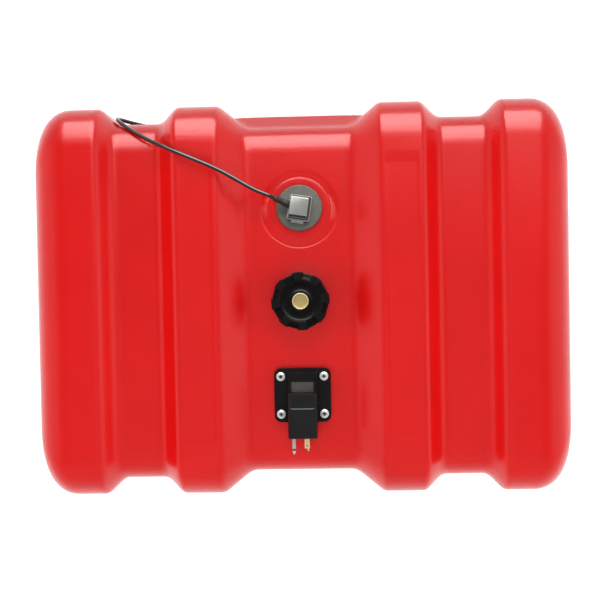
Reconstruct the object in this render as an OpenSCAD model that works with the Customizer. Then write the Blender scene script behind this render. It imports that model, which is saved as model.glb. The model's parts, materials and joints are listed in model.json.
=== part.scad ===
// Portable outboard fuel tank. A ribbed, blow-moulded shell lies flat with its fittings on
// top: an electric level sender at the rear, a vented screw cap in the middle, and at the
// front a gauge and pick-up plate with a two-prong quick connector.
// +X is to the right, +Y to the rear, +Z up, and the origin is under the middle of the tank.

/* [Tank] */
// Length of the tank, end to end
tank_l = 600; // [580:5:700]
// Depth of the tank over its ribs, front to rear
tank_w = 440; // [420:5:520]
// Height of the tank over its ribs
tank_h = 250; // [235:5:300]
// Thickness of the moulded wall
wall = 4; // [3:0.5:5]
// Radius of the long shoulders on a rib
shoulder_r = 45; // [38:1:55]
// Run of the rounding at each end of the tank
end_run = 42; // [30:1:44]
// Drop of the top across that rounding
end_drop = 40; // [30:1:44]
// Draw-in of the front and rear across that rounding
end_draw = 45; // [30:1:50]

/* [Ribs] */
// Half the width of the middle valley's floor
mid_half = 60; // [56:1:66]
// Depth of the middle valley below the crests
mid_sink = 25; // [18:1:28]
// How far the middle valley stands in from the crests at the front and rear
mid_inset = 23; // [15:1:26]
// Run of the flank beside the middle valley
inner_flank = 30; // [24:1:34]
// Width of a rib's crest beside the middle valley
crest_w = 47; // [46:1:50]
// Run of the flank beside a side valley
outer_flank = 19; // [14:1:22]
// Width of a side valley's floor
valley_w = 52; // [44:1:56]
// Depth of a side valley below the crests
side_sink = 20; // [14:1:24]
// How far a side valley stands in from the crests at the front and rear
side_inset = 16.5; // [12:0.5:20]
// Run of the flank that climbs to an end rib
end_flank = 16; // [12:1:18]
// Bevel that breaks each rib's edges
edge_break = 4; // [3:0.5:4.5]

/* [Panels and rear ledge] */
// Length of the recessed panel on a rib
panel_l = 306; // [240:2:320]
// Width of the recessed panel on a rib
panel_w = 37.5; // [30:0.5:38.5]
// Depth of the recessed panel
panel_sink = 1; // [0.6:0.1:1.6]
// How far the panels' middle lies ahead of the tank's middle
panel_shift = 1.5; // [0:0.5:6]
// How far the rear ledge stands out of the middle valley
ledge_out = 14; // [8:1:16]
// How far the rear ledge's upper edge lies below the middle valley's floor
ledge_drop = 25; // [22:1:40]
// Height of the slope on top of the rear ledge
ledge_slope = 17; // [12:1:24]

/* [Filler] */
// Where the filler stands, from the tank's middle
filler_y = -2; // [-8:1:8]
// Radius of the filler neck's bore
neck_bore_r = 20.5; // [18:0.5:21]
// Thickness of the neck's wall
neck_wall = 3.5; // [3:0.1:4]
// Height of the neck above the valley floor
neck_h = 17; // [14:0.5:20]
// How far the thread stands out of the neck
thread_h = 1.2; // [0.8:0.1:1.5]
// Pitch of the thread
thread_pitch = 5; // [4:0.5:6]
// Outer radius of the cap over the lobes of its four grips
cap_r = 32.5; // [31.5:0.5:35]
// Depth of the gaps between the cap's lobes
lobe_gap = 2; // [1:0.25:2.5]
// Height of the grips above the cap's top
grip_h = 3.6; // [2:0.2:5]
// Thickness of the cap's top
cap_top_t = 4.4; // [3.5:0.1:6]
// Radius of the brass vent button
vent_r = 9.1; // [7:0.1:10]
// How far the vent button can be pressed
vent_travel = 2.5; // [1.5:0.1:3]

/* [Gauge plate] */
// Where the plate's middle stands, from the tank's middle
plate_y = -107; // [-112:1:-100]
// Width of the plate
plate_w = 63; // [62:0.5:70]
// Length of the plate
plate_l = 60; // [58:0.5:66]
// Thickness of the plate
plate_t = 5; // [4:0.5:6]
// Spacing of the plate's screws across
screw_dx = 48; // [47:0.5:52]
// Spacing of the plate's screws front to rear
screw_dy = 42; // [41:0.5:46]
// Radius of a plate screw's shank
screw_r = 2.4; // [2:0.1:2.6]
// Radius of the opening in the tank under the plate
port_r = 22.5; // [22:0.25:23]
// Width of the connector body
block_w = 32; // [31:0.5:36]
// Height of the connector body
block_h = 13.5; // [12:0.5:16]
// How far the connector body overhangs the plate
block_over = 17; // [10:1:22]
// Length of the gauge window
window_l = 25; // [20:0.5:26]
// Width of the gauge window
window_w = 11.4; // [11:0.2:13]
// Radius of the fuel prong
prong_r = 2.05; // [1.8:0.05:2.5]
// Radius of the locating prong
guide_r = 3; // [2.5:0.1:3.5]
// Distance between the two prongs
prong_gap = 14.5; // [13:0.5:16]
// How far the fuel prong stands out of the connector body
prong_out = 18; // [14:0.5:22]
// Gap between the gauge's float and the tank's floor when the tank is empty
float_clear = 2; // [1:0.5:8]
// Radius of the float arm's wire
arm_r = 1.5; // [1.2:0.1:1.8]
// Radius of the gauge's float
float_r = 15; // [12:0.5:16]
// Length of the gauge's float
float_l = 36; // [28:1:44]
// Angle of the arm from straight down when the tank is empty
arm_rest = 12; // [11:0.5:16]

/* [Level sender] */
// Where the sender stands, from the tank's middle
sender_y = 101; // [96:1:106]
// Radius of the sender's metal disc
disc_r = 25.5; // [24:0.5:28]
// Thickness of the sender's metal disc
disc_t = 3; // [2.5:0.25:4]
// Radius of the raised boss under the disc
boss_r = 34.5; // [32:0.5:36]
// Height of that boss above the valley floor
boss_h = 1.5; // [1:0.25:3]
// Outer radius of the trough round the boss
trough_r = 44.5; // [42:0.5:46]
// Depth of that trough
trough_d = 4; // [2:0.5:5]
// Radius of the sender's threaded hub
hub_r = 18.6; // [17:0.2:19]
// Side of the sender head's top face
head_side = 20; // [18:0.5:22]
// Turn of the sender head, seen from above
head_turn = -9; // [-20:1:0]
// Radius of the sender's stem tube
stem_r = 6; // [5.5:0.25:7]
// Radius of the sender's ring float
ring_r = 16; // [14:0.5:17]
// Height of the sender's ring float
ring_h = 30; // [20:1:40]

/* [Lead] */
// Diameter of the sender's lead
lead_d = 4.4; // [4:0.1:4.8]
// Radius of the moulded boot where it meets the head
boot_r = 4; // [3.6:0.1:4.2]
// Length of the moulded boot
boot_l = 22; // [16:1:26]

/* [Clearances] */
// Gap between a pin and what turns on it
run_gap = 0.06; // [0.03:0.01:0.1]
// Gap between pieces that are pushed together
fit_gap = 0.03; // [0.02:0.01:0.06]
// Gap between a resting piece and its seat
rest_gap = 0.3; // [0.2:0.05:0.4]
// Gap round the pieces that turn or slide freely
free_gap = 0.5; // [0.4:0.05:0.7]

/* [Hidden] */

$fn = 64;
eps = 0.01;
// How far a cut runs past a face, and a joined solid into the next
over = 1;
// Steps in each corner of a drawn outline
corner_n = 7;

// Stations along the tank, from the middle outwards
rib_in = mid_half + inner_flank;
rib_out = rib_in + crest_w;
valley_in = rib_out + outer_flank;
valley_out = valley_in + valley_w;
end_in = valley_out + end_flank;
end_out = tank_l / 2 - end_run;
// How far a flank is carried on below a valley's floor, so that the pieces join
bury = 3;
// Radii of the long shoulders in the middle valley and the side valleys
mid_r = shoulder_r - 13;
side_r = shoulder_r - 10;
// The side valleys and their flanks are drawn in a little more on the inside
side_wall = wall + 0.5;
floor_z = tank_h - mid_sink;
inner_top = floor_z - wall;
inner_floor = mid_sink + wall;
// Thickness of the shell's backing under a fitting, below the wall, and its rim
backing_t = 6;
backing_rim = 4;
ledge_top = floor_z - ledge_drop;

neck_r = neck_bore_r + neck_wall;
neck_top = floor_z + neck_h;
seal_t = 2;
seal_z = neck_top + rest_gap;
cap_z = seal_z + seal_t;
cap_in_r = neck_r + thread_h + free_gap;
cap_top = cap_z + cap_top_t;
cap_lift = 2;
cap_foot = floor_z + cap_lift;
// Four raised grips, each an inner band with a lobe at either end
grip_n = 4;
grip_phase = -16.5;
grip_w = 11;
grip_a = 67;
grip_band = 3.5;
lobe_a = 23;
lobe_swing = (grip_a - lobe_a) / 2;
grip_in_r = cap_r - grip_w;
thread_crest = 1;
thread_turns = 2;
vent_stem_r = 3.5;
vent_disc_t = 2.5;
vent_proud = 0.6;
spring_min_h = 3;
spring_t = 1.6;
vent_pocket_d = vent_travel + vent_disc_t + spring_min_h + 2 * rest_gap;
vent_top = cap_top + vent_proud;
vent_floor = vent_top - vent_pocket_d;
vent_hub_wall = 3.4;
vent_hub_r = vent_r + free_gap + vent_hub_wall;
vent_hub_t = 3;
vent_hub_z = vent_floor - vent_hub_t;
vent_seal_t = 2;
vent_clip_t = 1;
vent_tail = 2;
vent_seal_z = vent_hub_z - rest_gap - vent_seal_t;
vent_clip_z = vent_seal_z - vent_clip_t;
vent_end = vent_clip_z - vent_tail;
// Dished ring between the button and the grips, with the lands on its two sides
dish_in_r = vent_r + 2;
dish_d = 1;

gasket_t = 1.5;
plate_z = floor_z + gasket_t;
plate_top = plate_z + plate_t;
plate_corner = 7.5;
insert_r = 4;
insert_l = 10;
insert_boss_r = insert_r + 3;
pan_r = 5;
pan_h = 2.7;
pan_rim = 1;
cross_l = 4.4;
cross_w = 1;
cross_d = 1.5;
rear_edge = plate_y + plate_l / 2;
hood_back = 4.5;
hood_rim = 10.2;
hood_h = 5.5;
hood_rear = rear_edge - hood_back;
hood_top = plate_top + hood_h;
window_t = 2;
window_sink = 0.4;
window_lip = 0.6;
window_end_lip = 1;
window_gap = 0.9;
window_y = hood_rear - hood_rim - window_w / 2;
block_rear = window_y - window_w / 2 - window_gap;
block_front = plate_y - plate_l / 2 - block_over;
block_top = plate_top + block_h;
block_bevel = 1.2;
// Shallow recess with a round rim on top of the connector body, behind its plain front
recess_l = 15.4;
recess_d = 0.8;
recess_rim = 2;
recess_rear = block_rear - 1.6;
recess_corner = 2.5;
side_gap = 0.25;
dial_r = window_l / 2 - window_end_lip;
dial_z = hood_top - window_t - free_gap - dial_r;
dial_w = window_w - 2 * (window_lip + side_gap);
pin_r = 1.5;
ear_t = 2;
ear_w = 14;
ear_below = 3;
hub_w = 2 * arm_r + 0.4;
// Faces along the pin, from the rear ear to the front one
ear_rear_y = window_y + dial_w / 2 + side_gap;
arm_y = window_y - dial_w / 2 - side_gap - hub_w / 2;
ear_front_y = arm_y - hub_w / 2 - side_gap;
arm_hub_r = 4;
arm_l = (dial_z - float_r - float_clear - inner_floor) / cos(arm_rest);
float_x = arm_l * sin(arm_rest);
float_z = dial_z - arm_l * cos(arm_rest);
float_rear_y = arm_y - arm_r - 1;
float_end_y = float_rear_y - float_l;
float_bevel = 3;
washer_w = 2.5;
washer_t = 1;
wire_end = 4;

prong_z = plate_top + block_h / 2;
// The prongs stand this far left of being centred on the body
prong_left = 3;
prong_x = -prong_gap / 2 - prong_left;
guide_x = prong_x + prong_gap;
socket_d = 7;
// The prongs' shanks inside the body are this much thinner in radius
shank_less = 0.3;
// Grooved and pointed tip of the fuel prong, with a port below it
tip_l = 3.8;
groove_l = 2.7;
groove_d = 0.7;
port_hole_r = 0.7;
port_back = 9.5;
prong_wall = 0.9;
// The locating prong is shorter, with a cross hole near its end and a tail beyond
guide_short = 7;
cross_hole_r = 0.9;
cross_hole_back = 3;
tail_r = 0.9;
tail_l = 3;
tube_r = 4.8;
tube_wall = 1.2;
tube_x = prong_x;
tube_y = plate_y - 13;
tube_in = 6;
screen_r = 8;
screen_h = 18;
screen_wall = 1.5;
screen_z = inner_floor + 2;
screen_slots = 6;
screen_slot = [3, 8];
tube_end = screen_z + 6;
screw_at = [for (sx = [-1, 1], sy = [-1, 1]) [sx * screw_dx / 2, plate_y + sy * screw_dy / 2]];

boss_top = floor_z + boss_h;
sender_gasket_t = 2;
disc_z = boss_top + sender_gasket_t;
disc_top = disc_z + disc_t;
hub_l = 16;
hub_z = disc_z - hub_l;
// Hollow between the hub's threaded wall and the sleeve round the stem
hub_wall = 3;
hub_hollow = 9;
disc_bevel = 0.5;
head_base_h = 5;
head_mid_h = 4;
head_top_h = 7.5;
head_grow = 2.2;
// The base stands out this much further at the front, rear and right
head_front = 2;
head_rear = 1.8;
head_right = 1;
head_step = 1;
head_z = disc_top + head_base_h + head_mid_h + head_top_h;
stem_wall = 1;
stem_floor_t = 2;
stem_z = inner_floor + 6;
stem_top = disc_z - 2;
clip_t = 1.2;
clip_play = 0.05;
clip_groove = 0.8;
clip_w = 4;
clip_z = stem_z + 4;
ring_z = clip_z + clip_t + rest_gap;
ring_bore_r = stem_r + free_gap;
ring_bevel = 2;
magnet_h = 5;
magnet_sink = 0.3;
magnet_r = ring_r - 4.5;
magnet_z = ring_z + ring_h - magnet_h - magnet_sink;
board_w = 2 * (stem_r - stem_wall) - 0.8;
board_t = 1.6;
board_z = stem_z + stem_floor_t + 0.2;
board_top = stem_top - 6;

// The boot leaves the sender head on its left, pointing back and a little up
boot_turn = 155;
boot_rise = 18;
boot_root = [-8, sender_y + 1.5, disc_top + 9];
boot_dir = [cos(boot_rise) * cos(boot_turn), cos(boot_rise) * sin(boot_turn), sin(boot_rise)];
boot_end = boot_root + boot_l * boot_dir;
boot_end_r = 3.1;
boot_straight = 10;
// The lead arches over a rib, turns down over the rear shoulder and reaches the floor
lead_run = [
    [-50, 121.5, 253], [-83, 140.5, 258], [-113, 154.5, 258.5], [-141, 167, 252],
    [-164, 178.5, 240.5], [-183, 190, 227.5], [-197, 200, 216.5], [-205, 206.5, 207],
    [-208.5, 210.5, 197.5], [-205.5, 211, 187.5], [-196, 209, 179], [-184, 207, 170],
    [-175, 206.5, 156], [-171, 206.5, 136], [-170, 206.5, 112], [-171, 206.5, 88],
    [-172, 206.5, 64], [-171, 207.5, 42], [-168, 210, 24], [-160, 212.5, 10.5],
    [-147, 214, 3.8], [-132, 214, 2.3], [-114, 214, 2.3], [-96, 214, 2.3]];
lead_start = 8;
lead_sides = 8;
plug_l = 22;
plug_w = 11;
plug_h = 8;
plug_lift = 0.2;
plug_at = [-96, 214, plug_lift + plug_h / 2];
plug_pin_r = 0.8;
plug_pin_l = 7;
plug_pin_in = 5;
plug_pin_gap = 5.2;

// Points of an arc, from angle a0 to angle a1
function arc(cx, cy, r, a0, a1, n = corner_n) =
    [for (i = [0 : n]) let (a = a0 + (a1 - a0) * i / n) [cx + r * cos(a), cy + r * sin(a)]];

// Rectangle between two corners with all four corners rounded
function round_rect(x0, y0, x1, y1, r) = concat(
    arc(x1 - r, y1 - r, r, 0, 90), arc(x0 + r, y1 - r, r, 90, 180),
    arc(x0 + r, y0 + r, r, 180, 270), arc(x1 - r, y0 + r, r, 270, 360));

// Cross-section of the tank, drawn in from its widest by an inset and a sink
function section(inset, sink, r) =
    round_rect(-tank_w / 2 + inset, sink, tank_w / 2 - inset, tank_h - sink, r);

// Prism of a cross-section from station x0 to x1
module prism(x0, x1, points) {
    translate([x0, 0, 0]) rotate([90, 0, 90]) linear_extrude(x1 - x0) polygon(points);
}

// Thin slice of the tank at station x, for a hull; f runs from 0 on a crest to 1 in a valley
module slice(x, f, inset, sink, valley_r) {
    prism(x, x + 0.2, section(f * inset, f * sink, shoulder_r - f * (shoulder_r - valley_r)));
}

module inner_rib() {
    hull() {
        slice(mid_half - bury, 1 + bury / inner_flank, mid_inset, mid_sink, mid_r);
        slice(rib_in - edge_break, edge_break / inner_flank, mid_inset, mid_sink, mid_r);
        slice(rib_in + edge_break, 0, mid_inset, mid_sink, mid_r);
        slice(rib_out - edge_break, 0, side_inset, side_sink, side_r);
        slice(rib_out + edge_break, edge_break / outer_flank, side_inset, side_sink, side_r);
        slice(valley_in + bury, 1 + bury / outer_flank, side_inset, side_sink, side_r);
    }
}

// Slice of the rounded end at an angle from 0 on the crest to 90 on the end wall
module end_slice(a, w) {
    draw = w + (end_draw - w) * (1 - cos(a));
    drop = w + (end_drop - w) * (1 - cos(a));
    x = end_out + (end_run - w) * sin(a);
    prism(x - 0.2, x, section(draw, drop, shoulder_r - w));
}

module end_rib() {
    hull() {
        slice(valley_out - bury, 1 + bury / end_flank, side_inset, side_sink, side_r);
        slice(end_in - edge_break, edge_break / end_flank, side_inset, side_sink, side_r);
        slice(end_in + edge_break, 0, side_inset, side_sink, side_r);
        for (a = [0, 18, 36, 54, 72, 90]) end_slice(a, 0);
    }
}

module both_sides() {
    children();
    mirror([1, 0, 0]) children();
}

// Cross-section of the ledge that fills the lower part of the middle valley at the rear
function ledge(w) = let (y = tank_w / 2 - mid_inset + ledge_out - w, top = ledge_top - w,
    foot = 2 * mid_sink + w, root = tank_w / 2 - 2 * mid_inset) [
    [root, foot], [y - ledge_out / 2, foot], [y, foot + ledge_out], [y, top - ledge_slope],
    [y - ledge_out, top], [root, top]];

module tank_outside() {
    prism(-rib_in, rib_in, section(mid_inset, mid_sink, mid_r));
    prism(-rib_in + edge_break, rib_in - edge_break, ledge(0));
    both_sides() {
        prism(rib_out - bury, end_in, section(side_inset, side_sink, side_r));
        inner_rib();
        end_rib();
    }
}

module tank_inside() {
    prism(-end_out, end_out, section(mid_inset + wall, mid_sink + wall, mid_r - wall));
    prism(-rib_in + inner_flank / 2, rib_in - inner_flank / 2, ledge(wall));
    both_sides() {
        prism(rib_in + over, rib_out - over, section(wall, wall, shoulder_r - wall));
        prism(rib_out - bury, end_in, section(side_inset + side_wall, side_sink + side_wall,
            side_r - side_wall));
        hull() {
            prism(end_in + over, end_in + 2 * over, section(wall, wall, shoulder_r - wall));
            for (a = [0, 30, 60, 90]) end_slice(a, wall);
        }
    }
}

// Thickening that backs the shell under its fittings
module backing() {
    for (b = [[filler_y, neck_r + backing_rim], [sender_y, trough_r + backing_rim / 2]])
        translate([0, b[0], inner_top - backing_t]) cylinder(r = b[1], h = backing_t + wall);
    for (p = screw_at) translate([p.x, p.y, floor_z - insert_l - wall])
        cylinder(r = insert_boss_r, h = insert_l + wall - over);
}

// Neck with its turns of thread, drawn as closed ridges, and a fillet at its foot
module neck() {
    fillet = 2;
    lead_in = 3;
    rotate_extrude() polygon(concat(
        [[0, -wall], [neck_r + fillet, -wall], [neck_r + fillet, 0]],
        [for (a = [15 : 15 : 90]) [neck_r + fillet * (1 - sin(a)), fillet * (1 - cos(a))]],
        [for (i = [thread_turns - 1 : -1 : 0]) let (z = neck_h - lead_in - i * thread_pitch)
            each [[neck_r, z - 2 * thread_crest], [neck_r + thread_h, z - thread_crest],
                [neck_r + thread_h, z], [neck_r, z + thread_crest]]],
        [[neck_r, neck_h], [0, neck_h]]));
}

module tank_shell() {
    color([0.84, 0.11, 0.12]) difference() {
        union() {
            difference() {
                tank_outside();
                difference() {
                    tank_inside();
                    backing();
                }
            }
            translate([0, filler_y, floor_z]) neck();
            translate([0, sender_y, floor_z - over]) cylinder(r = boss_r, h = boss_h + over);
        }
        translate([0, filler_y, inner_top - backing_t - over])
            cylinder(r = neck_bore_r, h = neck_h + wall + backing_t + 2 * over);
        translate([0, sender_y, floor_z]) rotate_extrude() polygon([
            [boss_r, boss_h + over], [boss_r, 1 - trough_d], [boss_r + 1, -trough_d],
            [trough_r - trough_d, -trough_d], [trough_r, eps], [trough_r, boss_h + over]]);
        translate([0, sender_y, inner_top - backing_t - over])
            cylinder(r = hub_r + free_gap, h = wall + backing_t + boss_h + 2 * over);
        translate([0, plate_y, inner_top - over]) cylinder(r = port_r, h = wall + 2 * over);
        for (p = screw_at)
            translate([p.x, p.y, floor_z - insert_l]) cylinder(r = insert_r, h = insert_l + over);
        both_sides() translate([0, 0, tank_h - panel_sink]) linear_extrude(2 * panel_sink)
            polygon(round_rect((rib_in + rib_out - panel_w) / 2, -panel_l / 2 - panel_shift,
                (rib_in + rib_out + panel_w) / 2, panel_l / 2 - panel_shift, panel_w / 6));
    }
}

// Flat ring of bore r, width w and thickness t
module washer(r, w, t) {
    difference() {
        cylinder(r = r + w, h = t);
        translate([0, 0, -over]) cylinder(r = r, h = t + 2 * over);
    }
}

module thread_inserts() {
    color([0.78, 0.63, 0.35]) for (p = screw_at) translate([p.x, p.y, floor_z - insert_l])
        difference() {
            cylinder(r = insert_r - fit_gap, h = insert_l);
            translate([0, 0, -over]) cylinder(r = screw_r + fit_gap, h = insert_l + 2 * over);
        }
}

// Ring sector, for the bands and lobes of the cap's grips
module ring_sector(r0, r1, z0, z1, a) {
    translate([0, 0, z0]) linear_extrude(z1 - z0)
        polygon(concat(arc(0, 0, r1, -a / 2, a / 2), arc(0, 0, r0, a / 2, -a / 2)));
}

module filler_cap() {
    body_r = cap_r - lobe_gap;
    lobe_taper = 3;
    color([0.09, 0.09, 0.1]) translate([0, filler_y, 0]) difference() {
        union() {
            translate([0, 0, cap_foot]) cylinder(r = body_r, h = cap_top - cap_foot);
            translate([0, 0, vent_hub_z]) cylinder(r = vent_hub_r, h = cap_top - vent_hub_z);
            for (i = [0 : grip_n - 1]) rotate(grip_phase + i * 360 / grip_n) {
                ring_sector(grip_in_r, grip_in_r + grip_band, cap_top - over, cap_top + grip_h,
                    grip_a - lobe_taper);
                for (side = [-1, 1]) rotate(side * lobe_swing) {
                    ring_sector(grip_in_r + grip_band - over, cap_r - 1, cap_top - over,
                        cap_top + grip_h, lobe_a - lobe_taper);
                    ring_sector(body_r - over, cap_r, cap_foot + lobe_gap,
                        cap_top + grip_h - 1, lobe_a);
                }
            }
        }
        translate([0, 0, cap_foot - over]) difference() {
            cylinder(r = cap_in_r, h = cap_z - cap_foot + over);
            translate([0, 0, vent_hub_z - cap_foot + over]) cylinder(r = vent_hub_r, h = cap_z);
        }
        translate([0, 0, vent_floor]) cylinder(r = vent_r + free_gap, h = vent_pocket_d + grip_h);
        translate([0, 0, vent_hub_z - over])
            cylinder(r = vent_stem_r + free_gap, h = vent_hub_t + 2 * over);
        translate([0, 0, cap_top]) rotate_extrude()
            polygon([[dish_in_r, eps], [dish_in_r + 2 * dish_d, -dish_d],
                [grip_in_r - 2 * dish_d, -dish_d], [grip_in_r - dish_d / 2, eps]]);
    }
}

module cap_seal() {
    color([0.15, 0.15, 0.16]) translate([0, filler_y, seal_z]) difference() {
        cylinder(r = cap_in_r - free_gap, h = seal_t - side_gap);
        translate([0, 0, -over]) cylinder(r = vent_hub_r + free_gap, h = seal_t + 2 * over);
    }
}

module vent_button() {
    stem_l = vent_top - vent_end;
    bevel = 0.4;
    color([0.75, 0.62, 0.36]) translate([0, filler_y, vent_end]) rotate_extrude()
        polygon([[0, 0], [vent_stem_r, 0], [vent_stem_r, stem_l - vent_disc_t],
            [vent_r, stem_l - vent_disc_t], [vent_r, stem_l - bevel], [vent_r - bevel, stem_l],
            [0, stem_l]]);
}

module vent_spring() {
    h = vent_top - vent_disc_t - vent_floor - 2 * rest_gap;
    color("silver") translate([0, filler_y, vent_floor + rest_gap]) difference() {
        cylinder(r = vent_stem_r + free_gap + spring_t, h = h);
        translate([0, 0, -over]) cylinder(r = vent_stem_r + free_gap, h = h + 2 * over);
    }
}

module vent_seal() {
    color([0.15, 0.15, 0.16]) translate([0, filler_y, vent_seal_z])
        washer(vent_stem_r + fit_gap, 1.4 * washer_w, vent_seal_t);
}

module vent_clip() {
    color("silver") translate([0, filler_y, vent_clip_z])
        washer(vent_stem_r + fit_gap, washer_w, vent_clip_t);
}

// Rounded plate with the four screw holes, from z0 upwards
module drilled_plate(z0, t, trim, hole_r) {
    difference() {
        translate([0, 0, z0]) linear_extrude(t) polygon(round_rect(-plate_w / 2 + trim,
            plate_y - plate_l / 2 + trim, plate_w / 2 - trim, rear_edge - trim, plate_corner));
        for (p = screw_at)
            translate([p.x, p.y, z0 - over]) cylinder(r = hole_r, h = t + 2 * over);
    }
}

module plate_gasket() {
    color([0.13, 0.13, 0.14]) difference() {
        drilled_plate(floor_z, gasket_t, 1, screw_r + 2 * rest_gap);
        translate([0, plate_y, floor_z - over]) cylinder(r = port_r, h = gasket_t + 2 * over);
    }
}

// Box between two corners
module box(p0, p1) {
    translate(p0) cube(p1 - p0);
}

module gauge_plate() {
    color([0.1, 0.1, 0.11]) difference() {
        union() {
            drilled_plate(plate_z, plate_t, 0, screw_r + rest_gap);
            box([-block_w / 2, block_rear, plate_top - over], [block_w / 2, hood_rear, hood_top]);
            for (y = [ear_rear_y, ear_front_y - ear_t])
                box([-ear_w / 2, y, dial_z - pin_r - ear_below],
                    [ear_w / 2, y + ear_t, plate_z + over]);
        }
        box([-dial_r - free_gap, ear_front_y, plate_z - over],
            [dial_r + free_gap, ear_rear_y, hood_top - 1.5 * window_t]);
        box([window_end_lip - window_l / 2, window_y - window_w / 2 + window_lip, plate_top],
            [window_l / 2 - window_end_lip, window_y + window_w / 2 - window_lip,
                hood_top + over]);
        box([-window_l / 2, window_y - window_w / 2, hood_top - window_t],
            [window_l / 2, window_y + window_w / 2, hood_top + over]);
        translate([0, ear_rear_y + ear_t + over, dial_z]) rotate([90, 0, 0])
            cylinder(r = pin_r + fit_gap, h = ear_rear_y - ear_front_y + 2 * (ear_t + over));
        translate([tube_x, tube_y, plate_z - over])
            cylinder(r = tube_r + fit_gap, h = plate_t + 2 * over);
    }
}

// Domed head with a cross recess and a plain shank
module plate_screws() {
    shank_l = plate_top - floor_z + insert_l - 1;
    dome = concat([[0, 0], [screw_r, 0], [screw_r, shank_l], [pan_r, shank_l],
        [pan_r, shank_l + pan_rim]], [for (i = [1 : corner_n]) let (a = 90 * i / corner_n)
        [pan_r * cos(a), shank_l + pan_rim + (pan_h - pan_rim) * sin(a)]]);
    color([0.8, 0.8, 0.8]) for (i = [0 : 3]) translate([screw_at[i].x, screw_at[i].y,
        plate_top - shank_l]) difference() {
            rotate_extrude() polygon(dome);
            rotate(20 + 25 * i) for (a = [0, 90]) rotate(a)
                translate([-cross_l / 2, -cross_w / 2, shank_l + pan_h - cross_d])
                    cube([cross_l, cross_w, cross_d + over]);
        }
}

module connector_body() {
    color([0.14, 0.14, 0.15]) difference() {
        translate([0, block_rear, plate_top]) rotate([90, 0, 0])
            linear_extrude(block_rear - block_front)
            polygon([[-block_w / 2, 0], [block_w / 2, 0], [block_w / 2, block_h - block_bevel],
                [block_w / 2 - block_bevel, block_h], [block_bevel - block_w / 2, block_h],
                [-block_w / 2, block_h - block_bevel]]);
        translate([0, 0, block_top - recess_d]) linear_extrude(recess_d + over)
            polygon(round_rect(recess_rim - block_w / 2, recess_rear - recess_l,
                block_w / 2 - recess_rim, recess_rear, recess_corner));
        translate([tube_x, tube_y, plate_top - over])
            cylinder(r = tube_r + fit_gap, h = tube_in + over);
        translate([tube_x, tube_y, prong_z]) rotate([90, 0, 0])
            cylinder(r = prong_r - prong_wall, h = tube_y - block_front);
        for (at = [[prong_x, prong_r], [guide_x, guide_r]])
            translate([at[0], block_front + socket_d, prong_z]) rotate([90, 0, 0])
                cylinder(r = at[1] - shank_less + fit_gap, h = socket_d + over);
    }
}

module gauge_window() {
    color([0.4, 0.36, 0.33, 0.6]) box([fit_gap - window_l / 2, window_y - window_w / 2 + fit_gap,
        hood_top - window_t], [window_l / 2 - fit_gap, window_y + window_w / 2 - fit_gap,
        hood_top - window_sink]);
}

// Hollow prong with a grooved, pointed tip and a side port
module fuel_prong() {
    l = socket_d + prong_out;
    color([0.8, 0.79, 0.74]) translate([prong_x, block_front + socket_d, prong_z])
        rotate([90, 0, 0]) difference() {
            rotate_extrude() polygon([[0, 0], [prong_r - shank_less, 0],
                [prong_r - shank_less, socket_d], [prong_r, socket_d],
                [prong_r, l - tip_l - groove_l],
                [prong_r - groove_d, l - tip_l - groove_l + groove_d / 2],
                [prong_r - groove_d, l - tip_l - 1.5 * groove_d],
                [prong_r, l - tip_l - groove_d], [prong_r, l - tip_l], [prong_r / 5, l], [0, l]]);
            translate([0, 0, -over]) cylinder(r = prong_r - prong_wall, h = l - port_back + 2);
            translate([0, 0, l - port_back]) rotate([90, 0, 0])
                cylinder(r = port_hole_r, h = prong_r + over);
        }
}

// Locating prong with a cross hole and a narrow tail at one side
module locating_prong() {
    l = socket_d + prong_out - guide_short;
    color([0.86, 0.74, 0.45]) translate([guide_x, block_front + socket_d, prong_z])
        rotate([90, 0, 0]) difference() {
            union() {
                cylinder(r = guide_r - shank_less, h = l);
                translate([0, 0, socket_d]) cylinder(r = guide_r, h = l - socket_d);
                translate([guide_r - 2 * tail_r, 0, l - over]) cylinder(r = tail_r, h = tail_l + over);
            }
            translate([0, guide_r + over, l - cross_hole_back]) rotate([90, 0, 0])
                cylinder(r = cross_hole_r, h = 2 * (guide_r + over));
        }
}

module pickup_tube() {
    l = plate_top + tube_in - 1 - tube_end;
    color([0.85, 0.85, 0.82]) translate([tube_x, tube_y, tube_end]) difference() {
        cylinder(r = tube_r, h = l);
        translate([0, 0, -over]) cylinder(r = tube_r - tube_wall, h = l + 2 * over);
    }
}

// Strainer cup on the end of the pick-up tube, with windows in its wall
module pickup_screen() {
    color([0.2, 0.22, 0.25]) translate([tube_x, tube_y, screen_z]) difference() {
        cylinder(r = screen_r, h = screen_h);
        translate([0, 0, screen_wall])
            cylinder(r = screen_r - screen_wall, h = screen_h - 3 * screen_wall);
        translate([0, 0, screen_wall]) cylinder(r = tube_r + fit_gap, h = screen_h);
        for (i = [1 : screen_slots]) rotate(i * 360 / screen_slots)
            translate([0, -screen_slot[0] / 2, 2 * screen_wall])
                cube([screen_r + over, screen_slot[0], screen_slot[1]]);
    }
}

// Drum behind the window, on the same pin as the float arm
module gauge_dial() {
    color([0.72, 0.7, 0.66]) translate([0, window_y + dial_w / 2, dial_z]) rotate([90, 0, 0])
        difference() {
            cylinder(r = dial_r, h = dial_w);
            translate([0, 0, -over]) cylinder(r = pin_r + run_gap, h = dial_w + 2 * over);
        }
}

module float_pin() {
    l = ear_rear_y - ear_front_y + 2 * ear_t;
    color("silver") translate([0, ear_rear_y + ear_t, dial_z]) rotate([90, 0, 0])
        cylinder(r = pin_r, h = l);
}

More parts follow.
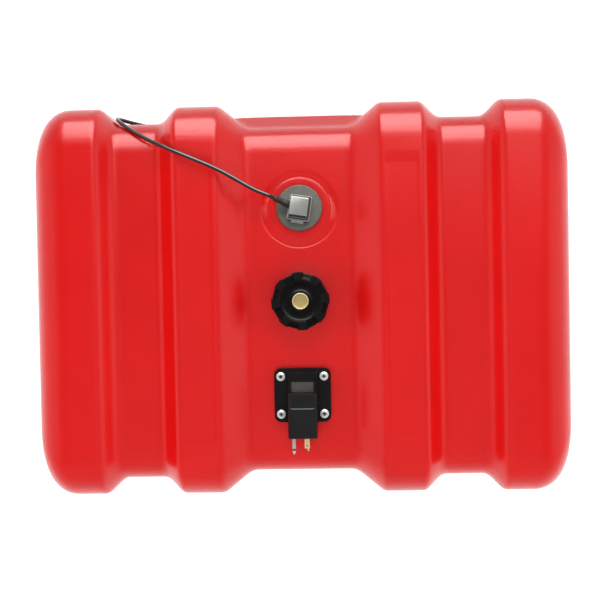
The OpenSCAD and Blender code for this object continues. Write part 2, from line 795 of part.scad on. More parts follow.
// Flat hub on the pin, a straight wire, and a cross wire that carries the float
module float_arm() {
    color([0.72, 0.72, 0.7]) difference() {
        union() {
            translate([0, arm_y + hub_w / 2, dial_z]) rotate([90, 0, 0])
                cylinder(r = arm_hub_r, h = hub_w);
            translate([0, arm_y, dial_z]) rotate([0, 180 - arm_rest, 0])
                translate([0, 0, arm_hub_r - over])
                    cylinder(r = arm_r, h = arm_l - arm_hub_r + over);
            translate([float_x, arm_y + arm_r, float_z]) rotate([90, 0, 0])
                cylinder(r = arm_r, h = arm_y + arm_r - float_end_y + wire_end);
        }
        translate([0, arm_y + hub_w, dial_z]) rotate([90, 0, 0])
            cylinder(r = pin_r + run_gap, h = 2 * hub_w);
    }
}

module gauge_float() {
    color([0.2, 0.2, 0.21]) translate([float_x, float_rear_y, float_z]) rotate([90, 0, 0])
        difference() {
            rotate_extrude() polygon([[0, 0], [float_r - float_bevel, 0], [float_r, float_bevel],
                [float_r, float_l - float_bevel], [float_r - float_bevel, float_l], [0, float_l]]);
            translate([0, 0, -over]) cylinder(r = arm_r + fit_gap, h = float_l + 2 * over);
        }
}

module float_clip() {
    color("silver") translate([float_x, float_end_y - side_gap, float_z]) rotate([90, 0, 0])
        washer(arm_r + fit_gap, washer_w, washer_t);
}

module sender_gasket() {
    color([0.13, 0.13, 0.14]) translate([0, sender_y, boss_top])
        washer(hub_r + free_gap, disc_r - hub_r - 2 * free_gap, sender_gasket_t);
}

// Metal disc with its threaded hub below, bored for the stem
module sender_flange() {
    color([0.45, 0.44, 0.42]) translate([0, sender_y, hub_z]) difference() {
        rotate_extrude() polygon([[0, 0], [hub_r - 1, 0], [hub_r, 1], [hub_r, disc_z - hub_z],
            [disc_r, disc_z - hub_z], [disc_r, disc_top - hub_z - disc_bevel],
            [disc_r - disc_bevel, disc_top - hub_z], [0, disc_top - hub_z]]);
        translate([0, 0, -over])
            cylinder(r = stem_r + fit_gap, h = stem_top - hub_z + 1.5 * over);
        rotate_extrude() polygon([[stem_r + hub_wall, -over], [hub_r - hub_wall, -over],
            [hub_r - hub_wall, hub_hollow], [stem_r + hub_wall, hub_hollow]]);
    }
}

// Square block that a spanner fits, stepped in towards its top, with the lead's socket
module sender_head() {
    half = head_side / 2;
    base = half + head_grow;
    color([0.62, 0.63, 0.6]) difference() {
        translate([0, sender_y, disc_top]) rotate(head_turn) {
            box([-base, -base - head_front, 0],
                [base + head_right, base + head_rear, head_base_h]);
            box([head_step - base, -base, head_base_h - over],
                [base - head_step, base - head_step, head_base_h + head_mid_h]);
            box([-half, head_step - half, head_base_h], [half, half + head_step, head_z - disc_top]);
        }
        translate(boot_root - boot_dir) rotate([0, 90 - boot_rise, boot_turn])
            cylinder(r = boot_r + fit_gap, h = boot_l);
    }
}

module stem_tube() {
    color([0.7, 0.7, 0.72]) translate([0, sender_y, stem_z]) difference() {
        cylinder(r = stem_r, h = stem_top - stem_z);
        translate([0, 0, stem_floor_t]) cylinder(r = stem_r - stem_wall, h = stem_top - stem_z);
        translate([0, 0, clip_z - stem_z])
            washer(stem_r - clip_groove, clip_groove + over, clip_t);
    }
}

module reed_board() {
    color([0.1, 0.4, 0.2]) box([-board_w / 2, sender_y - board_t / 2, board_z],
        [board_w / 2, sender_y + board_t / 2, board_top]);
}

module sender_float() {
    color([0.15, 0.15, 0.16]) translate([0, sender_y, ring_z]) difference() {
        rotate_extrude() polygon([[ring_bore_r, 0], [ring_r - ring_bevel, 0],
            [ring_r, ring_bevel], [ring_r, ring_h - ring_bevel], [ring_r - ring_bevel, ring_h],
            [ring_bore_r, ring_h]]);
        translate([0, 0, magnet_z - ring_z]) cylinder(r = magnet_r, h = magnet_h + over);
    }
}

module float_magnet() {
    bore_r = ring_bore_r + magnet_sink;
    color([0.3, 0.3, 0.32]) translate([0, sender_y, magnet_z])
        washer(bore_r, magnet_r - fit_gap - bore_r, magnet_h);
}

module stem_clip() {
    color("silver") translate([0, sender_y, clip_z + clip_play])
        washer(stem_r - clip_groove + fit_gap, clip_w, clip_t - 2 * clip_play);
}

module lead_boot() {
    color([0.12, 0.12, 0.12]) translate(boot_root) rotate([0, 90 - boot_rise, boot_turn])
        rotate_extrude() polygon([[0, 0], [boot_r, 0], [boot_r, boot_straight],
            [boot_end_r, boot_l], [0, boot_l]]);
}

// Smooth curve through the route's points, with one point more in the middle of each stretch
function catmull(p, i, t) =
    let (n = len(p) - 1, a = p[max(i - 1, 0)], b = p[i], c = p[i + 1], d = p[min(i + 2, n)])
    0.5 * (2 * b + t * (c - a) + t * t * (2 * a - 5 * b + 4 * c - d)
        + t * t * t * (3 * b - a - 3 * c + d));
function smooth(p) = [for (i = [0 : len(p) - 2], t = [0, 0.5]) catmull(p, i, t), p[len(p) - 1]];
function unit(v) = v / norm(v);
function tangent(p, i) = unit(p[min(i + 1, len(p) - 1)] - p[max(i - 1, 0)]);
// Carries a side direction along the curve without twisting it
function sides(p, i, u) = i == len(p) ? [] :
    let (t = tangent(p, i), v = unit(u - (u * t) * t)) concat([v], sides(p, i + 1, v));

module tube(p, r, n) {
    u = sides(p, 0, [0, 0, 1]);
    rings = [for (i = [0 : len(p) - 1], k = [0 : n - 1])
        p[i] + r * (cos(360 * k / n) * u[i] + sin(360 * k / n) * cross(tangent(p, i), u[i]))];
    walls = [for (i = [0 : len(p) - 2], k = [0 : n - 1]) let (a = i * n + k,
        b = i * n + (k + 1) % n) each [[a, a + n, b + n], [a, b + n, b]]];
    first = [for (k = [0 : n - 1]) k];
    last = [for (k = [n - 1 : -1 : 0]) (len(p) - 1) * n + k];
    polyhedron(rings, concat(walls, [first], [last]));
}

module sender_lead() {
    route = concat([boot_end, boot_end + lead_start * boot_dir], lead_run);
    color([0.12, 0.13, 0.13]) tube(smooth(route), lead_d / 2, lead_sides);
}

module lead_plug() {
    color([0.12, 0.12, 0.12]) difference() {
        translate(plug_at + [plug_l / 2, 0, 0]) cube([plug_l, plug_w, plug_h], center = true);
        for (s = [-1, 1]) translate(plug_at + [plug_l - plug_pin_in, s * plug_pin_gap / 2, 0])
            rotate([0, 90, 0]) cylinder(r = plug_pin_r + fit_gap, h = plug_pin_in + over);
    }
}

module plug_pins() {
    color([0.85, 0.72, 0.4]) for (s = [-1, 1])
        translate(plug_at + [plug_l - plug_pin_in, s * plug_pin_gap / 2, 0])
            rotate([0, 90, 0]) cylinder(r = plug_pin_r, h = plug_pin_in + plug_pin_l);
}

tank_shell();
thread_inserts();
filler_cap();
cap_seal();
vent_button();
vent_spring();
vent_seal();
vent_clip();
plate_gasket();
gauge_plate();
plate_screws();
connector_body();
gauge_window();
fuel_prong();
locating_prong();
pickup_tube();
pickup_screen();
gauge_dial();
float_pin();
float_arm();
gauge_float();
float_clip();
sender_gasket();
sender_flange();
sender_head();
stem_tube();
reed_board();
sender_float();
float_magnet();
stem_clip();
lead_boot();
sender_lead();
lead_plug();
plug_pins();
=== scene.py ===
import json
from math import copysign, cos, hypot, pi, radians, sin

import bmesh
import bpy
from mathutils import Matrix, Vector


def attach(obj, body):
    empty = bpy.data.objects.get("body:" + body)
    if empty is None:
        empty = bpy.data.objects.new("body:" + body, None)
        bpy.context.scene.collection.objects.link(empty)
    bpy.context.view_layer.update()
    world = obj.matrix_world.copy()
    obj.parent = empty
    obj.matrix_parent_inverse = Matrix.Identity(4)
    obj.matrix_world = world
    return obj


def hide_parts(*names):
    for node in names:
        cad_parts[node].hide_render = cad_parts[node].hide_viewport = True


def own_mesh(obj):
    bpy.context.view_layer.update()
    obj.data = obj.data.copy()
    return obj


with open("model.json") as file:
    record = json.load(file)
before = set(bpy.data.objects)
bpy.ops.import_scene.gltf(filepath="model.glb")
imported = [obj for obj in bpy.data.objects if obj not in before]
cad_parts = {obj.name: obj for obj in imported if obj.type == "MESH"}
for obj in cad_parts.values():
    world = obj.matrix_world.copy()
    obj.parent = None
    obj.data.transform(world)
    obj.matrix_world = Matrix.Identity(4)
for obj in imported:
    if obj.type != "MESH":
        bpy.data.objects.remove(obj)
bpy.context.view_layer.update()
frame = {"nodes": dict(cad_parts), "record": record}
nodes = frame["nodes"]
scene = bpy.context.scene
mm = 0.001                          # everything below is drawn in millimetres and scaled at the end

# camera, straight above and a little to the right
cameraKit = {"place": (36.75, 18.07, 1250), "turn": (-1.118, 2.099, -1.091), "lens": 55.03}

view = bpy.data.cameras.new("overheadCamera")
view.lens = cameraKit["lens"]
view.sensor_width = 36
viewObject = bpy.data.objects.new("overheadCamera", view)
viewObject.location = [c * mm for c in cameraKit["place"]]
viewObject.rotation_euler = [radians(a) for a in cameraKit["turn"]]
scene.collection.objects.link(viewObject)
scene.camera = viewObject
print("camera placed")


# shared node groups

def makeGroup(name, inputs, outputs):
    tree = bpy.data.node_groups.new(name, "ShaderNodeTree")
    for label, kind, value in inputs:
        socket = tree.interface.new_socket(name=label, in_out="INPUT", socket_type=kind)
        if value is not None:
            socket.default_value = value
    for label, kind in outputs:
        tree.interface.new_socket(name=label, in_out="OUTPUT", socket_type=kind)
    return tree, tree.nodes.new("NodeGroupInput"), tree.nodes.new("NodeGroupOutput")


def addNode(tree, kind, links=None, **settings):
    node = tree.nodes.new(kind)
    for label, value in settings.items():
        setattr(node, label, value)
    for socket, source in (links or {}).items():
        if isinstance(source, bpy.types.NodeSocket):
            tree.links.new(source, node.inputs[socket])
        else:
            node.inputs[socket].default_value = source
    return node


def makeMouldGrain():
    # pebbled skin that a blow mould or a sanded steel tool leaves
    tree, given, out = makeGroup("mouldGrain",
        [("Vector", "NodeSocketVector", None), ("Pebbles", "NodeSocketFloat", 700.0),
         ("Waviness", "NodeSocketFloat", 0.5)],
        [("Height", "NodeSocketFloat")])
    pebbles = addNode(tree, "ShaderNodeTexVoronoi", {"Vector": given.outputs["Vector"],
        "Scale": given.outputs["Pebbles"]}, feature="SMOOTH_F1")
    swell = addNode(tree, "ShaderNodeTexNoise", {"Vector": given.outputs["Vector"], "Scale": 22.0,
        "Detail": 2.0})
    lifted = addNode(tree, "ShaderNodeMath", {0: swell.outputs["Fac"],
        1: given.outputs["Waviness"]}, operation="MULTIPLY")
    total = addNode(tree, "ShaderNodeMath", {0: pebbles.outputs["Distance"],
        1: lifted.outputs[0]}, operation="ADD")
    tree.links.new(total.outputs[0], out.inputs["Height"])
    return tree


def makeToneDrift():
    # slow drift between two tones, with fine specks
    tree, given, out = makeGroup("toneDrift",
        [("Vector", "NodeSocketVector", None), ("Size", "NodeSocketFloat", 12.0),
         ("Tone A", "NodeSocketColor", None), ("Tone B", "NodeSocketColor", None)],
        [("Color", "NodeSocketColor"), ("Mask", "NodeSocketFloat")])
    cloud = addNode(tree, "ShaderNodeTexNoise", {"Vector": given.outputs["Vector"],
        "Scale": given.outputs["Size"], "Detail": 6.0, "Roughness": 0.6})
    spread = addNode(tree, "ShaderNodeMapRange", {"Value": cloud.outputs["Fac"],
        "From Min": 0.3, "From Max": 0.7})
    mixed = addNode(tree, "ShaderNodeMix", {"Factor": spread.outputs[0]}, data_type="RGBA")
    tree.links.new(given.outputs["Tone A"], mixed.inputs[6])
    tree.links.new(given.outputs["Tone B"], mixed.inputs[7])
    tree.links.new(mixed.outputs[2], out.inputs["Color"])
    tree.links.new(spread.outputs[0], out.inputs["Mask"])
    return tree


def makeScuffMarks():
    # short rubbed marks, 0 where the surface is clean
    tree, given, out = makeGroup("scuffMarks",
        [("Vector", "NodeSocketVector", None), ("Size", "NodeSocketFloat", 60.0),
         ("Amount", "NodeSocketFloat", 0.4)],
        [("Mask", "NodeSocketFloat")])
    stretch = addNode(tree, "ShaderNodeMapping", {"Vector": given.outputs["Vector"],
        "Rotation": (0.3, 0.2, 0.6), "Scale": (1.0, 9.0, 1.0)})
    marks = addNode(tree, "ShaderNodeTexNoise", {"Vector": stretch.outputs[0],
        "Scale": given.outputs["Size"], "Detail": 4.0})
    patches = addNode(tree, "ShaderNodeTexNoise", {"Vector": given.outputs["Vector"],
        "Scale": 14.0, "Detail": 2.0})
    sharp = addNode(tree, "ShaderNodeMapRange", {"Value": marks.outputs["Fac"],
        "From Min": 0.58, "From Max": 0.74})
    where = addNode(tree, "ShaderNodeMapRange", {"Value": patches.outputs["Fac"],
        "From Min": 0.45, "From Max": 0.65})
    both = addNode(tree, "ShaderNodeMath", {0: sharp.outputs[0], 1: where.outputs[0]},
        operation="MULTIPLY")
    scaled = addNode(tree, "ShaderNodeMath", {0: both.outputs[0], 1: given.outputs["Amount"]},
        operation="MULTIPLY")
    tree.links.new(scaled.outputs[0], out.inputs["Mask"])
    return tree


def makeLatheRings():
    # fine rings that a lathe leaves round the Z axis of its vector
    tree, given, out = makeGroup("latheRings",
        [("Vector", "NodeSocketVector", None), ("Pitch", "NodeSocketFloat", 900.0)],
        [("Height", "NodeSocketFloat")])
    rings = addNode(tree, "ShaderNodeTexWave", {"Vector": given.outputs["Vector"],
        "Scale": given.outputs["Pitch"], "Distortion": 0.6, "Detail": 2.0, "Detail Scale": 3.0},
        wave_type="RINGS", rings_direction="Z")
    tree.links.new(rings.outputs["Fac"], out.inputs["Height"])
    return tree


grainGroup = makeMouldGrain()
driftGroup = makeToneDrift()
scuffGroup = makeScuffMarks()
latheGroup = makeLatheRings()


def placeGroup(tree, group, links):
    return addNode(tree, "ShaderNodeGroup", links, node_tree=group)


def makeMaterial(name, tones, rough, metallic=0.0, pebbles=0.0, depth=0.0, wave=0.5, drift=12.0,
                 scuffs=0.3, scuffSize=60.0, lathe=None, raisedPaintedLight=None, **fixed):
    material = bpy.data.materials.new(name)
    material.use_nodes = True
    tree = material.node_tree
    shader = tree.nodes["Principled BSDF"]
    shader.inputs["Metallic"].default_value = metallic
    for socket, value in fixed.items():
        shader.inputs[socket.replace("_", " ")].default_value = value
    place = addNode(tree, "ShaderNodeTexCoord").outputs["Object"]
    tone = placeGroup(tree, driftGroup, {"Vector": place, "Size": drift,
        "Tone A": (*tones[0], 1.0), "Tone B": (*tones[1], 1.0)})
    tree.links.new(tone.outputs["Color"], shader.inputs["Base Color"])
    if raisedPaintedLight:
        # faces above a height get a paler tone: painted light on raised faces
        parts = addNode(tree, "ShaderNodeSeparateXYZ", {"Vector": place})
        raised = addNode(tree, "ShaderNodeMapRange", {"Value": parts.outputs["Z"],
            "From Min": raisedPaintedLight["from"] * mm, "From Max": raisedPaintedLight["to"] * mm})
        paintedLitTone = addNode(tree, "ShaderNodeMix", {"Factor": raised.outputs[0],
            6: tone.outputs["Color"], 7: (*raisedPaintedLight["tone"], 1.0)}, data_type="RGBA")
        tree.links.new(paintedLitTone.outputs[2], shader.inputs["Base Color"])
    marks = placeGroup(tree, scuffGroup, {"Vector": place, "Size": scuffSize, "Amount": scuffs})
    worn = addNode(tree, "ShaderNodeMapRange", {"Value": marks.outputs["Mask"],
        "To Min": rough[0], "To Max": rough[1]})
    tree.links.new(worn.outputs[0], shader.inputs["Roughness"])
    if pebbles:
        grain = placeGroup(tree, grainGroup, {"Vector": place, "Pebbles": pebbles,
            "Waviness": wave})
        bump = addNode(tree, "ShaderNodeBump", {"Height": grain.outputs["Height"],
            "Strength": 1.0, "Distance": depth * mm})
        tree.links.new(bump.outputs[0], shader.inputs["Normal"])
    if lathe:
        centred = addNode(tree, "ShaderNodeMapping", {"Vector": place,
            "Location": [-c * mm for c in lathe["centre"]]})
        spun = addNode(tree, "ShaderNodeMapping", {"Vector": centred.outputs[0],
            "Rotation": [radians(a) for a in lathe.get("turn", (0, 0, 0))]})
        rings = placeGroup(tree, latheGroup, {"Vector": spun.outputs[0],
            "Pitch": lathe["pitch"]})
        bump = addNode(tree, "ShaderNodeBump", {"Height": rings.outputs["Height"],
            "Strength": 1.0, "Distance": lathe["depth"] * mm})
        tree.links.new(bump.outputs[0], shader.inputs["Normal"])
    return material


tankRed = makeMaterial("tankRed", [(0.70, 0.0036, 0.0033), (0.77, 0.005, 0.0046)], (0.23, 0.32),
    pebbles=620.0, depth=0.09, wave=1.6, drift=9.0, scuffs=0.5, Specular_IOR_Level=0.44)
# the raised grips are painted paler than the dish between them: painted light, as if the dish lay
# in shade
capBlack = makeMaterial("capBlack", [(0.0022, 0.0016, 0.0016), (0.0036, 0.0028, 0.0026)],
    (0.34, 0.5), pebbles=1500.0, depth=0.03, drift=60.0, Specular_IOR_Level=0.16,
    raisedPaintedLight={"from": 249.5, "to": 252, "tone": (0.0056, 0.0048, 0.0045)})
gaugeBlack = makeMaterial("gaugeBlack", [(0.0036, 0.0028, 0.003), (0.0056, 0.0046, 0.0048)],
    (0.4, 0.56), pebbles=1300.0, depth=0.03, drift=50.0, Specular_IOR_Level=0.22)
plateBlack = makeMaterial("plateBlack", [(0.0062, 0.0062, 0.0062), (0.0095, 0.0095, 0.0095)],
    (0.4, 0.56), pebbles=1300.0, depth=0.03, drift=50.0, Specular_IOR_Level=0.32)
leadBlack = makeMaterial("leadBlack", [(0.0035, 0.003, 0.003), (0.006, 0.005, 0.005)],
    (0.1, 0.22), pebbles=2200.0, depth=0.004, drift=80.0, Specular_IOR_Level=0.8)
bootRubber = makeMaterial("bootRubber", [(0.008, 0.007, 0.007), (0.014, 0.012, 0.0115)],
    (0.5, 0.66), pebbles=2000.0, depth=0.03, drift=80.0, Specular_IOR_Level=0.4)
sealRubber = makeMaterial("sealRubber", [(0.012, 0.012, 0.012), (0.02, 0.02, 0.02)], (0.6, 0.75),
    pebbles=1800.0, depth=0.03, drift=70.0)
# the button's raised rim is painted paler: a painted highlight
ventBrass = makeMaterial("ventBrass", [(0.42, 0.31, 0.115), (0.54, 0.41, 0.16)], (0.3, 0.42),
    metallic=0.35, drift=260.0,
    raisedPaintedLight={"from": 249.15, "to": 249.25, "tone": (0.8, 0.66, 0.4)},
    lathe={"centre": (0, -2, 249), "pitch": 1400.0, "depth": 0.02})
prongBrass = makeMaterial("prongBrass", [(0.84, 0.66, 0.33), (0.92, 0.76, 0.42)], (0.22, 0.36),
    metallic=0.4, drift=90.0, lathe={"centre": (4.25, -150, 238.25), "turn": (90, 0, 0),
                                     "pitch": 900.0, "depth": 0.01})
brightSteel = makeMaterial("brightSteel", [(0.62, 0.61, 0.58), (0.72, 0.71, 0.69)], (0.24, 0.4),
    metallic=1.0, pebbles=900.0, depth=0.01, drift=120.0)
screwSteel = makeMaterial("screwSteel", [(0.76, 0.76, 0.75), (0.86, 0.86, 0.85)], (0.22, 0.34),
    metallic=0.4, pebbles=900.0, depth=0.01, drift=120.0)
prongSteel = makeMaterial("prongSteel", [(0.55, 0.54, 0.52), (0.66, 0.65, 0.62)], (0.22, 0.36),
    metallic=0.4, pebbles=900.0, depth=0.008, drift=150.0)
# dark zinc for the head's walls under its lip, the screws' crosses and the prongs' groove and hole:
# grime with painted shade
paintedShadeGrimeZinc = makeMaterial("paintedShadeGrimeZinc", [(0.028, 0.028, 0.026), (0.05, 0.05, 0.047)], (0.6, 0.75),
    metallic=0.3, pebbles=1100.0, depth=0.02, drift=120.0)
dullZinc = makeMaterial("dullZinc", [(0.10, 0.10, 0.086), (0.135, 0.135, 0.118)], (0.5, 0.62),
    metallic=0.75, pebbles=1100.0, depth=0.02, drift=70.0)
machinedZinc = makeMaterial("machinedZinc", [(0.34, 0.36, 0.34), (0.42, 0.44, 0.41)],
    (0.36, 0.5), metallic=0.85, pebbles=900.0, depth=0.015, drift=90.0)
headZinc = makeMaterial("headZinc", [(0.27, 0.285, 0.26), (0.335, 0.35, 0.32)], (0.36, 0.5),
    metallic=0.3, pebbles=900.0, depth=0.015, drift=150.0, scuffs=0.8, scuffSize=200.0)
smokedLens = makeMaterial("smokedLens", [(0.24, 0.215, 0.2), (0.29, 0.262, 0.245)], (0.12, 0.24),
    drift=40.0, Transmission_Weight=0.75, IOR=1.49)
dialWhite = makeMaterial("dialWhite", [(0.15, 0.138, 0.125), (0.185, 0.172, 0.16)], (0.45, 0.6),
    pebbles=1500.0, depth=0.02, drift=70.0)
floatFoam = makeMaterial("floatFoam", [(0.02, 0.02, 0.021), (0.035, 0.035, 0.036)], (0.7, 0.85),
    pebbles=1500.0, depth=0.12, drift=60.0)
boardGreen = makeMaterial("boardGreen", [(0.01, 0.10, 0.035), (0.016, 0.14, 0.05)], (0.35, 0.5),
    pebbles=1500.0, depth=0.01, drift=80.0)

# every CAD node gets its slot's finish
finishes = {
    "tank_plastic": tankRed, "black_plastic": plateBlack, "seal_rubber": sealRubber,
    "lead_rubber": leadBlack, "brass": prongBrass, "bright_steel": brightSteel,
    "dull_zinc": dullZinc, "machined_zinc": machinedZinc, "smoked_lens": smokedLens,
    "dial_plastic": dialWhite, "float_foam": floatFoam, "board_green": boardGreen}
partOf = {part["node"]: part for part in frame["record"]["subparts"]}
for name, node in nodes.items():
    node.data.materials.clear()
    node.data.materials.append(finishes[partOf[name]["material_slot"]])
print("materials made")


# finishing a new piece: angles in degrees, and how close two points are to be one

edgeKit = {"sharp": 38, "rounded": 35, "flat": 0.6, "merge": 0.002}


def finishPiece(bm, name, body, material, stands):
    # stands names the CAD nodes that the piece stands for
    bmesh.ops.transform(bm, matrix=Matrix.Scale(mm, 4), verts=bm.verts)
    for face in bm.faces:
        face.smooth = True
    for edge in bm.edges:
        if len(edge.link_faces) == 2 and edge.calc_face_angle(0) > radians(edgeKit["sharp"]):
            edge.smooth = False
    mesh = bpy.data.meshes.new(name)
    bm.to_mesh(mesh)
    bm.free()
    piece = bpy.data.objects.new(name, mesh)
    scene.collection.objects.link(piece)
    piece.data.materials.append(material)
    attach(piece, body)
    if stands:
        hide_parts(*stands)
    return piece


def flattenFaces(piece):
    flat = piece.modifiers.new("flatFaces", "WEIGHTED_NORMAL")
    flat.keep_sharp = True


def soften(kit):
    # a copy of a node's solid, with its hard edges rounded
    solid = nodes[kit["node"]]
    bm = bmesh.new()
    bm.from_mesh(solid.data)
    bmesh.ops.scale(bm, vec=[1 / mm] * 3, verts=bm.verts)
    bmesh.ops.remove_doubles(bm, verts=bm.verts, dist=edgeKit["merge"])
    if "shape" in kit:
        for v in bm.verts:
            kit["shape"](v)
    if "width" in kit:
        bmesh.ops.dissolve_limit(bm, angle_limit=radians(edgeKit["flat"]), verts=bm.verts,
            edges=bm.edges)
        hard = [e for e in bm.edges
            if len(e.link_faces) == 2 and e.calc_face_angle(0) > radians(edgeKit["rounded"])]
        bmesh.ops.bevel(bm, geom=hard, offset=kit["width"], offset_type="OFFSET",
            segments=kit.get("rounds", 2), profile=0.5, affect="EDGES", clamp_overlap=True,
            material=-1)
    slot = partOf[kit["node"]]["material_slot"]
    piece = finishPiece(bm, kit["name"], "tank", kit.get("finish", finishes[slot]),
        [kit["node"]])
    # faces that the kit's mask picks take the dark zinc: grime with painted shade in the hollows
    if "paintedShadeGrime" in kit:
        piece.data.materials.append(paintedShadeGrimeZinc)
        for face in piece.data.polygons:
            face.material_index = int(kit["paintedShadeGrime"](face.center / mm))
    flattenFaces(piece)
    return piece


# the sender's lead comes first, because its room depends on the camera

leadKit = {
    "radius": 2.2, "exit": (-26.963, 111.342, 247.298), "steps": 6,
    "route": [
        (-33.859, 114.558, 249.771), (-50, 121.5, 253), (-83, 140.5, 258), (-113, 154.5, 258.5),
        (-141, 167, 252), (-164, 178.5, 240.5), (-183, 190, 227.5), (-197, 200, 216.5),
        (-205, 206.5, 207), (-208.5, 210.5, 197.5), (-205.5, 211, 187.5), (-196, 209, 179),
        (-184, 207, 170), (-175, 206.5, 156), (-171, 206.5, 136), (-170, 206.5, 112),
        (-171, 206.5, 88), (-172, 206.5, 64), (-171, 207.5, 42), (-168, 210, 24),
        (-160, 212.5, 10.5), (-147, 214, 3.8), (-132, 214, 2.3), (-114, 214, 2.3),
        (-96, 214, 2.3)]}


def smoothRoute(points, steps):
    points = [Vector(p) for p in points]
    last = len(points) - 1
    made = []
    for i in range(last):
        a, b = points[max(i - 1, 0)], points[i]
        c, d = points[i + 1], points[min(i + 2, last)]
        for k in range(steps):
            t = k / steps
            made.append(0.5 * (2 * b + t * (c - a) + t * t * (2 * a - 5 * b + 4 * c - d)
                + t ** 3 * (3 * b - a - 3 * c + d)))
    return made + [points[last]]


def makeLead():
    route = smoothRoute([leadKit["exit"]] + leadKit["route"], leadKit["steps"])
    curve = bpy.data.curves.new("senderLead", "CURVE")
    curve.dimensions = "3D"
    curve.bevel_depth = leadKit["radius"] * mm
    curve.bevel_resolution = 5
    curve.use_fill_caps = True
    line = curve.splines.new("POLY")
    line.points.add(len(route) - 1)
    for spot, place in zip(line.points, route):
        spot.co = (*(place * mm), 1.0)
    line.use_smooth = True
    piece = bpy.data.objects.new("senderLead", curve)
    scene.collection.objects.link(piece)
    piece.data.materials.append(leadBlack)
    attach(piece, "tank")
    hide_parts("sender_lead")
    drawn = sum((b - a).length for a, b in zip(route, route[1:]))
    print("lead drawn,", round(drawn), "mm")
    return piece


lead = makeLead()
leadPlug = soften({"node": "lead_plug", "name": "leadPlug", "width": 1.0, "rounds": 4})
plugPins = soften({"node": "plug_pins", "name": "plugPins", "width": 0.25, "rounds": 2})


# the blow-moulded shell

shellKit = {
    "width": 440, "height": 250, "wall": 4, "shoulder": 45,
    # flat floor of the middle valley that the fittings are cut from
    "valley": {"half": 50, "long": 151.9, "top": 225},
    # along the tank: station, softness, and the slopes that change there
    "bends": [(60, 7, -1, 0), (90, 4, 1, 0), (137, 4, 1, 1), (156, 6, -1, 1), (208, 6, -1, 2),
              (224, 4, 1, 2)],
    "flanks": [(30, 25, 23, 13), (19, 20, 16.5, 10), (16, 20, 16.5, 10)],
    "middle": (25, 23, 13),
    "stations": [0, 25, 49, 50, 53, 55.5, 58, 60, 62, 64.5, 67, 68.5, 76, 84.5, 86, 87.5, 89, 90,
        91, 92.5, 94, 133, 134.5, 136, 137, 138, 139.5, 141, 142.5, 148.5, 150, 152, 154, 156,
        158, 160, 162, 163.5, 182, 200.5, 202, 204, 206, 208, 210, 212, 214, 215.5, 218.5, 220,
        221.5, 223, 224, 225, 226.5, 228, 229.5, 243, 256.5],
    "endStart": 258, "endRun": 42, "endDrop": 40, "endDraw": 45, "endSteps": 10,
    "arcSteps": 12,
    "flats": [-1, -0.985, -0.92, -0.5, 0, 0.5, 0.92, 0.985, 1],
    "sides": [0, 0.02, 0.04, 0.0515, 0.065, 0.1, 0.2, 0.35, 0.47, 0.49, 0.5, 0.51, 0.53, 0.65,
              0.8, 0.9, 0.915, 0.9265, 0.94, 0.97, 1],
    "seamDip": 0.35,
    "ledge": [(50, 204), (64, 211), (183, 211), (200, 197)], "ledgeHalf": 86}


def bendAt(x, soft):
    # how far a slope that starts at 0 has carried, with a rounded start
    if x < -soft:
        return 0
    return x if x > soft else (x + soft) ** 2 / (4 * soft)


def crossSection(x, inward):
    # sink, inset and corner radius of the tank at station x
    x = abs(x)
    sink, inset, tighter = shellKit["middle"]
    corner = shellKit["shoulder"] - tighter
    for station, soft, sign, flank in shellKit["bends"]:
        run, deep, far, tighter = shellKit["flanks"][flank]
        reach = bendAt(x - station, soft) / run
        sink += sign * deep * reach
        inset += sign * far * reach
        corner -= sign * tighter * reach
    return sink + inward, inset + inward, corner - inward


def ledgeFront(z, inward):
    # how far to the rear the ledge of the middle valley stands at height z
    steps = shellKit["ledge"]
    z = z + inward if z > shellKit["height"] / 2 else z - inward
    for (lowZ, lowY), (highZ, highY) in zip(steps, steps[1:]):
        if lowZ <= z <= highZ:
            return lowY + (highY - lowY) * (z - lowZ) / (highZ - lowZ) - inward
    return 0


def softMax(a, b, k=2.0):
    # the larger of two, rounded where they meet
    return max(a, b) + max(0, k - abs(a - b)) ** 2 / (4 * k)


def outlineSpots():
    # one turn round the section: straight runs and corner arcs
    n = shellKit["arcSteps"]
    arc = [90 * i / n for i in range(1, n)]
    spots = [("top", f) for f in shellKit["flats"]]
    spots += [("arc", 90 - a) for a in arc] + [("rear", g) for g in reversed(shellKit["sides"])]
    spots += [("arc", -a) for a in arc] + [("base", -f) for f in shellKit["flats"]]
    spots += [("arc", -90 - a) for a in arc] + [("front", g) for g in shellKit["sides"]]
    return spots + [("arc", 180 - a) for a in arc]


def sectionSpot(kind, f, sink, inset, corner, ledge, inward):
    halfY = shellKit["width"] / 2 - inset - corner
    halfZ = shellKit["height"] / 2 - sink - corner
    middle = shellKit["height"] / 2
    if kind in ("top", "base"):
        side = 1 if kind == "top" else -1
        return f * halfY, middle + side * (halfZ + corner)
    if kind == "arc":
        a = radians(f)
        y = copysign(halfY, cos(a)) + corner * cos(a)
        z = middle + copysign(halfZ, sin(a)) + corner * sin(a)
    else:
        dip = shellKit["seamDip"] if f in (0.49, 0.51) and not inward else 0
        y = (1 if kind == "rear" else -1) * (halfY + corner - dip)
        z = middle + (2 * f - 1) * halfZ
    if ledge and y > halfY:
        front = ledgeFront(z, inward)
        if front:
            y = softMax(y, front)
    return y, z


